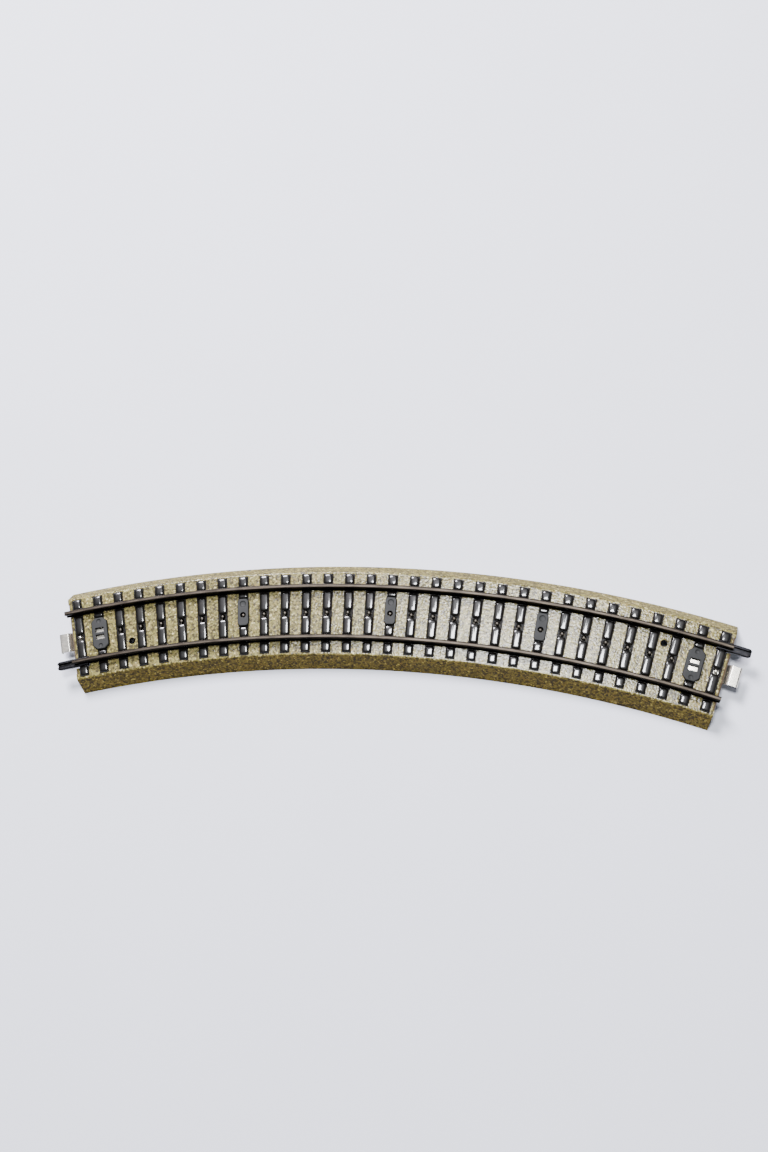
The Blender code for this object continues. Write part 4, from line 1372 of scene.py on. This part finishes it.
@dataclass
class Joiner(SubAssembly):
    """Blackened channel that takes the foot of the next section's rail."""

    offset: float = 9.0 * MM
    floor: float = 6.8 * MM
    half: float = 1.55 * MM
    top: float = 8.0 * MM
    sheet: float = 0.3 * MM
    lip: float = 0.7 * MM
    grip: float = 5.0 * MM
    reach: float = 6.2 * MM
    tip: float = 1.3 * MM
    # the tip narrows in short steps, like the end of a spoon: share of its length and width
    tip_steps: tuple[Span, ...] = ((0.3, 0.985), (0.28, 0.94), (0.24, 0.86), (0.18, 0.74))

    def channel(self, half: float, low: float, high: float) -> list[Span]:
        """Corners of one side of the folded sheet, from lip to lip."""
        right = [(self.lip, high), (half, high), (half, low)]
        return right + [(-o, h) for o, h in reversed(right)]

    def build(self, end: End) -> None:
        """Model the channel and hang it at one end.

        Args:
            end: The end where it goes.
        """
        bottom = self.floor - self.sheet
        outer = rounded(self.channel(self.half, bottom, self.top), 0.42 * MM, 4)
        inside = self.channel(self.half - self.sheet, self.floor, self.top - self.sheet)
        inner = rounded(inside[::-1], 0.16 * MM, 3)
        outline = [self.curve.top(-self.grip, self.offset + o, h) for o, h in outer + inner]
        piece = draw_line(f"{end.word}_joiner_channel", outline, closed=True)
        draw_out(piece, (self.grip + self.reach - self.tip, 0.0, 0.0))
        mouth = self.curve.top(self.reach - self.tip, self.offset, bottom)
        with editing(piece):
            pick(piece, "FACE", lambda face: face.normal.x > 0.9)
            for share, width in self.tip_steps:
                pull((self.tip * share, 0.0, 0.0))
                bpy.ops.transform.resize(value=(1.0, width, 0.5 + width / 2.0), center_override=mouth)
        soften(piece, 0.05 * MM)
        shade(piece, 40.0)
        piece.data.transform(self.curve.at_end(end))
        self.hang(piece, Slot.JOINER, f"{end.word}_rail_joiner")


@dataclass
class CentreContact(SubAssembly):
    """Strip, end plates, studs, rivets and spring leaves of the centre contact."""

    width: float = 5.4 * MM
    sheet: float = 0.4 * MM
    strip_top: float = 4.6 * MM
    gap: float = 0.3 * MM
    stud: float = 1.1 * MM
    stud_top: float = 7.7 * MM
    plate_start: float = 2.2 * MM
    overlap: float = 2.6 * MM
    pad_length: float = 3.6 * MM
    pad_half: float = 2.1 * MM
    pad_top: float = 6.75 * MM
    rivet_head: float = 2.2 * MM
    rivet_shank: float = 1.2 * MM
    rivet_dome: float = 0.4 * MM
    leaf_width: float = 6.8 * MM
    leaf_sheet: float = 0.3 * MM
    leaf_offset: float = 0.5 * MM
    leaf_reach: float = 5.2 * MM
    leaf_flat: float = 2.7 * MM
    leaf_rise: float = 1.3 * MM
    leaf_nose: float = 0.75 * MM
    leaf_drop: float = 1.9 * MM

    @property
    def rivet_at(self) -> float:
        """Strip rivet, inwards from the bed end."""
        return self.curve.end_to_sleeper + 1.5 * self.curve.step

    @property
    def leaf_rivet(self) -> Vector:
        """Foot of the leaf rivet's axis, at the top of the curve with the bed end there."""
        return self.curve.top(-self.curve.end_to_sleeper - 0.5 * self.curve.step, 0.0, 0.0)

    @property
    def plate_low(self) -> float:
        """Underside of the end plates."""
        return self.strip_top + self.gap

    def flat_bar(self, name: str, start: float, stop: float, low: float, steps: int) -> Piece:
        """Flat bar of strip that follows the curve.

        Args:
            name: Name of the piece.
            start: Angle where it starts.
            stop: Angle where it stops.
            low: Height of its underside.
            steps: Steps of the sweep.

        Returns:
            The bar.
        """
        half, high = self.width / 2.0, low + self.sheet
        corners = rounded([(-half, low), (half, low), (half, high), (-half, high)], 0.1 * MM, 2, closed=True)
        return self.curve.arched(name, corners, start, stop - start, steps, True)

    def stud_piece(self, base: float) -> Piece:
        """Stud with a worn round top and a small root, at the top of the curve."""
        radius, bulge = self.stud / 2.0, self.stud * 0.2
        turns = [math.pi / 2.0 * k / 5 for k in range(5)]
        dome = [(radius * math.cos(t), self.stud_top - bulge + bulge * math.sin(t)) for t in turns]
        root = [(0.0, base), (radius + 0.15 * MM, base), (radius, base + 0.25 * MM)]
        return turned("stud", self.curve.top(0.0, 0.0, 0.0), [*root, *dome, (0.0, self.stud_top)], 14)

    def strip(self) -> None:
        """Model the long strip with its studs and hang it on the section."""
        reach = self.curve.half_arc - (self.rivet_at - self.overlap / 2.0) / self.curve.radius
        bar = self.flat_bar("stud_strip", -reach, reach, self.strip_top - self.sheet, 80)
        stud = self.stud_piece(self.strip_top - 0.1 * MM)
        studs = self.curve.laid(stud, range(3, self.curve.sleepers - 1))
        piece = joined("stud_strip", [bar, *studs])
        shade(piece, 50.0)
        self.hang(piece, Slot.STRIP, "contact_strip")

    def plate(self, end: End) -> None:
        """Model one end plate with its raised pad and end stud.

        Args:
            end: The end where it goes.
        """
        name = f"{end.word}_contact_pressing"
        distances = (self.plate_start, self.rivet_at + self.overlap / 2.0)
        first, last = sorted(self.curve.inside(end, distance) for distance in distances)
        bar = self.flat_bar(name, first, last, self.plate_low, 6)
        low = self.plate_low + self.sheet / 2.0
        long, half = self.pad_length / 2.0, self.pad_half
        pad = self.curve.block("pad", (-long, long), (-half, half), (low, self.pad_top))
        round_edges(pad, 0.35 * MM, 3, lambda edge: all(v.co.z > self.pad_top - TIDY for v in edge.verts))
        pad.data.transform(self.curve.from_end(end, 1.0))
        stud = self.stud_piece(low)
        stud.data.transform(self.curve.from_end(end, 0.0))
        piece = joined(name, [bar, pad, stud])
        shade(piece, 50.0)
        self.hang(piece, Slot.NICKEL, f"{end.word}_contact_plate")

    def leaf_line(self) -> list[Span]:
        """Outer face of the spring leaf: (distance past the bed end, height), tail first."""
        low = self.strip_top
        top = low + self.leaf_rise
        flat_end = self.leaf_reach - self.leaf_nose
        flat_start = flat_end - self.leaf_flat
        tail = self.curve.end_to_sleeper + self.curve.step - 2.0 * MM
        bends = [
            (-tail, low),
            (0.1 * MM, low),
            (flat_start - 0.55 * MM, top - 0.35 * MM),
            (flat_start, top),
            (flat_end + 0.2 * MM, top),
            (flat_end + self.leaf_nose * 0.8, top - 0.6 * MM),
            (flat_end + self.leaf_nose * 0.8, top - self.leaf_drop * 0.6),
            (flat_end + self.leaf_nose * 0.3, top - self.leaf_drop),
        ]
        return rounded(bends, 0.6 * MM, 4)

    def leaf(self, end: End) -> None:
        """Model one spring leaf and hang it on its own body.

        Args:
            end: The end where it goes.
        """
        half = self.leaf_width / 2.0
        line = [self.curve.top(out, self.leaf_offset - half, h) for out, h in self.leaf_line()]
        piece = draw_line(f"{end.word}_contact_leaf", line)
        draw_out(piece, (0.0, self.leaf_width, 0.0))
        if any(face.normal.z < -0.95 for face in piece.data.polygons):
            with editing(piece, whole=True):
                bpy.ops.mesh.flip_normals()
        thicken(piece, self.leaf_sheet)
        nose = max(v.co.x for v in piece.data.vertices) - 1.4 * MM
        middle = self.curve.top(0.0, self.leaf_offset, 0.0).y

        def on_nose(edge: bmesh.types.BMEdge) -> bool:
            """Whether an edge is a corner of the turned-down nose."""
            centre = centre_of(edge)
            at_corner = centre.x > nose and centre.z < self.strip_top - 0.2 * MM
            at_side = abs(centre.y - middle) > half - 0.05 * MM and run_of(edge).y < 0.1
            return at_corner and at_side and edge.calc_length() < self.leaf_sheet * 1.3

        round_edges(piece, 0.5 * MM, 4, on_nose)
        depth = (self.strip_top - 1.0 * MM, self.strip_top + 0.5 * MM)
        cut(piece, drill(self.leaf_rivet, self.rivet_shank / 2.0 + self.gap, depth, 20))
        soften(piece, 0.05 * MM, 50.0)
        shade(piece, 40.0)
        piece.data.transform(self.curve.at_end(end))
        body = Body.LEFT_CONTACT if end is End.LEFT else Body.RIGHT_CONTACT
        self.hang(piece, Slot.NICKEL, f"{end.word}_contact_spring", body)

    def rivet(self, names: tuple[str, str], foot: Vector, place: Matrix, low: float) -> None:
        """Model one rivet with two domed heads.

        Args:
            names: Name of the piece and of the node that it stands for.
            foot: Point on its axis before it is placed.
            place: Where it goes.
            low: Height of the underside of what it holds.
        """
        head, shank, dome = self.rivet_head / 2.0, self.rivet_shank / 2.0, self.rivet_dome
        bottom = low - self.gap
        top = self.plate_low + self.sheet + self.gap
        arc = [math.pi / 2.0 * k / 5 for k in range(6)]
        lower = [(head * math.sin(t), bottom - dome * math.cos(t)) for t in arc]
        upper = [(head * math.cos(t), top + dome * math.sin(t)) for t in arc]
        below = [(0.0, lower[0][1]), *lower[1:], (shank, bottom)]
        above = [(shank, top), *upper[:-1], (0.0, upper[-1][1])]
        piece = turned(names[0], foot, below + above, 24)
        shade(piece, 40.0)
        piece.data.transform(place)
        self.hang(piece, Slot.BRASS, names[1])

    def build(self) -> None:
        """Model every piece of the centre contact."""
        self.strip()
        strip_foot = self.curve.top(0.0, 0.0, 0.0)
        strip_low, leaf_low = self.strip_top - self.sheet, self.strip_top - self.leaf_sheet
        for end in End:
            self.plate(end)
            self.leaf(end)
            strip_names = (f"{end.word}_strip_rivet_turned", f"{end.word}_strip_rivet")
            strip_place = self.curve.turn(self.curve.inside(end, self.rivet_at))
            self.rivet(strip_names, strip_foot, strip_place, strip_low)
            leaf_names = (f"{end.word}_leaf_rivet_turned", f"{end.word}_spring_rivet")
            self.rivet(leaf_names, self.leaf_rivet, self.curve.at_end(end), leaf_low)


@dataclass
class Insulators(SubAssembly):
    """Moulded insulators that hold the strip under the bed."""

    low: float = 7.1 * MM
    thick: float = 0.9 * MM
    leg_inner: float = 3.0 * MM
    leg_thick: float = 0.75 * MM
    leg_width: float = 2.4 * MM
    hook_reach: float = 0.9 * MM
    hook_thick: float = 0.7 * MM
    mid_half: float = 2.0 * MM
    mid_inner: float = 3.85 * MM
    mid_outer: float = 5.9 * MM
    mid_bore: float = 1.0 * MM
    mid_hook: float = 3.9 * MM
    end_half: float = 2.95 * MM
    end_long: float = 5.8 * MM
    end_hook: float = 4.6 * MM
    window_half: float = 1.55 * MM
    window_far: float = 2.1 * MM
    window_bar: float = 0.8 * MM

    @property
    def top(self) -> float:
        """Height of the upper face."""
        return self.low + self.thick

    def slab(self, name: str, half: float, across: Span, corner: float, lip: float) -> Piece:
        """Cover plate with cut corners and a sloped rim.

        Args:
            name: Name of the piece.
            half: Half its width along the track.
            across: Offsets of its inner and outer end.
            corner: Size of the cut corners.
            lip: Width of the sloped rim.

        Returns:
            The plate at the top of the curve.
        """
        piece = self.curve.block(name, (-half, half), across, (self.low, self.top))
        round_edges(piece, corner, 1, lambda edge: run_of(edge).z > 0.9)
        round_edges(piece, lip, 3, lambda edge: all(v.co.z > self.top - TIDY for v in edge.verts))
        return piece

    def leg(self, sign: int, hook_top: float) -> Piece:
        """Leg through the bed with a hook under the strip.

        Args:
            sign: Side of the centre line, 1 for the outer one.
            hook_top: Height of the upper face of the hook.

        Returns:
            The leg at the top of the curve.
        """
        across = tuple(sorted((sign * self.leg_inner, sign * (self.leg_inner + self.leg_thick))))
        half = self.leg_width / 2.0
        heights = (hook_top - self.hook_thick, self.low + 0.2 * MM)
        piece = self.curve.block("leg", (-half, half), across, heights)

        def inward(face: bmesh.types.BMFace) -> bool:
            """Whether a face is on the side where the hook stands out."""
            return face.normal.y * sign < -0.9 and face.calc_center_median().z < hook_top

        with editing(piece, whole=True):
            bpy.ops.mesh.bisect(plane_co=self.curve.top(0.0, 0.0, hook_top), plane_no=UP)
            pick(piece, "FACE", inward)
            pull((0.0, -sign * self.hook_reach, 0.0))
        soften(piece, 0.12 * MM)
        return piece

    def mark(self, plate: Piece, offset: float, radius: float) -> None:
        """Sink a shallow round mark left by an ejector pin.

        Args:
            plate: The cover plate.
            offset: Offset of the mark from the centre line.
            radius: Radius of the mark.
        """
        depth = (self.top - 0.22 * MM, self.top + 0.1 * MM)
        cut(plate, drill(self.curve.top(0.0, offset, 0.0), radius, depth, 20, tip=0.8))

    def finish(self, plate: Piece, hook_top: float, number: int, node: str) -> None:
        """Join the legs to a cover plate, turn it to its sleeper and hang it.

        Args:
            plate: The cover plate at the top of the curve.
            hook_top: Height of the upper face of the hooks.
            number: The sleeper that it replaces.
            node: The node that it stands for.
        """
        piece = joined(plate.name, [plate, self.leg(1, hook_top), self.leg(-1, hook_top)])
        soften(piece, 0.05 * MM, 50.0)
        shade(piece, 35.0)
        piece.data.transform(self.curve.sleeper(number))
        self.hang(piece, Slot.PLASTIC, node)

    def middle(self, index: int, number: int) -> None:
        """Model one narrow insulator over the strip's stud.

        Args:
            index: Which one, from 1.
            number: The sleeper that it replaces.
        """
        across = (-self.mid_inner, self.mid_outer)
        plate = self.slab(f"mid_insulator_moulding_{index}", self.mid_half, across, 0.8 * MM, 0.3 * MM)
        depth = (self.low - 0.5 * MM, self.top + 1.0 * MM)
        cut(plate, drill(self.curve.top(0.0, 0.0, 0.0), self.mid_bore, depth, 24))
        self.mark(plate, self.mid_outer - 1.9 * MM, 1.15 * MM)
        self.finish(plate, self.mid_hook, number, f"mid_insulator_{index}")

    def ending(self, end: End) -> None:
        """Model one wide insulator with its two windows.

        Args:
            end: The end that it is near.
        """
        name = f"{end.word}_end_insulator"
        across = (-self.end_long, self.end_long)
        plate = self.slab(name + "_moulding", self.end_half, across, 1.5 * MM, 0.42 * MM)
        along = (-self.window_half, self.window_half)
        depth = (self.low - 0.5 * MM, self.top + self.thick)
        for sign in (-1, 1):
            window = tuple(sorted((sign * self.window_bar / 2.0, sign * self.window_far)))
            cut(plate, self.curve.block("window", along, window, depth))
            self.mark(plate, sign * (self.end_long - 1.35 * MM), 0.8 * MM)
        self.finish(plate, self.end_hook, 2 if end is End.LEFT else self.curve.sleepers - 1, name)

    def build(self) -> None:
        """Model all five insulators."""
        for index, number in enumerate(Bed.insulated, 1):
            self.middle(index, number)
        for end in End:
            self.ending(end)


# -------------------------------------------------------------- the studio


@dataclass
class Studio:
    """Pale board, soft light from the far side and the camera."""

    lens: float = 40.0
    camera_at: tuple[float, float, float] = (57.9 * MM, -93.5 * MM, 435.0 * MM)
    camera_turns: tuple[float, float, float] = (math.radians(-15.4), math.radians(-7.1), -0.0798)
    lamps_aim: tuple[float, float, float] = (0.01, 0.0, 0.0)
    air_strength: float = 0.3

    def camera(self) -> None:
        """Set the camera above and a little to the near side."""
        data = bpy.data.cameras.new("bench_camera")
        data.lens = self.lens
        data.sensor_fit = "VERTICAL"
        data.sensor_height = 36.0
        data.clip_start = 0.01
        camera = bpy.data.objects.new("bench_camera", data)
        bpy.context.scene.collection.objects.link(camera)
        pitch, roll, yaw = (Matrix.Rotation(turn, 3, axis) for turn, axis in zip(self.camera_turns, "XYZ"))
        facing = (pitch @ roll @ yaw).transposed().to_4x4()
        camera.matrix_world = Matrix.Translation(self.camera_at) @ facing
        bpy.context.scene.camera = camera

    def lamp(self, name: str, place: Vector, size: Span, power: float, colour: str) -> None:
        """Hang one soft light.

        Args:
            name: Name of the light.
            place: Where it hangs.
            size: Its width and height.
            power: Its power in watts.
            colour: Its colour.
        """
        data = bpy.data.lights.new(name, "AREA")
        data.shape = "RECTANGLE"
        data.size, data.size_y = size
        data.energy = power
        data.color = linear(colour)[:3]
        light = bpy.data.objects.new(name, data)
        light.location = place
        light.rotation_euler = (Vector(self.lamps_aim) - place).to_track_quat("-Z", "Y").to_euler()
        bpy.context.scene.collection.objects.link(light)

    def board(self) -> None:
        """Lay the pale board."""
        bpy.ops.object.select_all(action="DESELECT")
        bpy.ops.mesh.primitive_plane_add(size=3.0, location=(0.0, 0.0, -0.02 * MM))
        floor = bpy.context.object
        floor.name = "pale_board"
        settle_transform(floor)
        with editing(floor, whole=True):
            bpy.ops.mesh.subdivide(number_cuts=3)
        floor.data.materials.clear()
        floor.data.materials.append(PaleBoard().material())

    def air(self) -> None:
        """Fill the studio with a faint light that is brighter above."""
        world = bpy.data.worlds.new("studio_air")
        world.use_nodes = True
        tree = world.node_tree
        place = add_node(tree, "TexCoord")
        parts = add_node(tree, "SeparateXYZ", links={0: place.outputs["Generated"]})
        greys = ((0.0, "#3c3d42"), (0.35, "#8f939c"), (1.0, "#e3e8f2"))
        tone = add_node(tree, "ValToRGB", {"stops": greys}, {0: parts.outputs["Z"]})
        background = tree.nodes["Background"]
        feed(background, {"Color": tone})
        background.inputs["Strength"].default_value = self.air_strength
        bpy.context.scene.world = world

    def build(self) -> None:
        """Lay the board, hang the lights and set the camera."""
        self.board()
        self.air()
        self.lamp("window_light", Vector((-0.4, 0.75, 0.95)), (0.4, 0.4), 44.0, "#fbf8ff")
        self.lamp("ceiling_glare", Vector((0.0, 0.17, 1.1)), (0.26, 0.2), 15.0, "#fbfcff")
        self.camera()


def main() -> None:
    """Build the section and its studio."""
    logging.basicConfig(level=logging.INFO, format="%(name)s: %(message)s")
    curve = Curve.of_bed(half_base=Bed.half_base)
    finishes = Finishes.on(curve)
    Bed(curve, finishes).build()
    Rail(curve, finishes, "outer_rail_folded", 1).build()
    Rail(curve, finishes, "inner_rail_folded", -1).build()
    for end in End:
        Joiner(curve, finishes).build(end)
    CentreContact(curve, finishes).build()
    Insulators(curve, finishes).build()
    Studio().build()


if __name__ == "__main__":
    main()
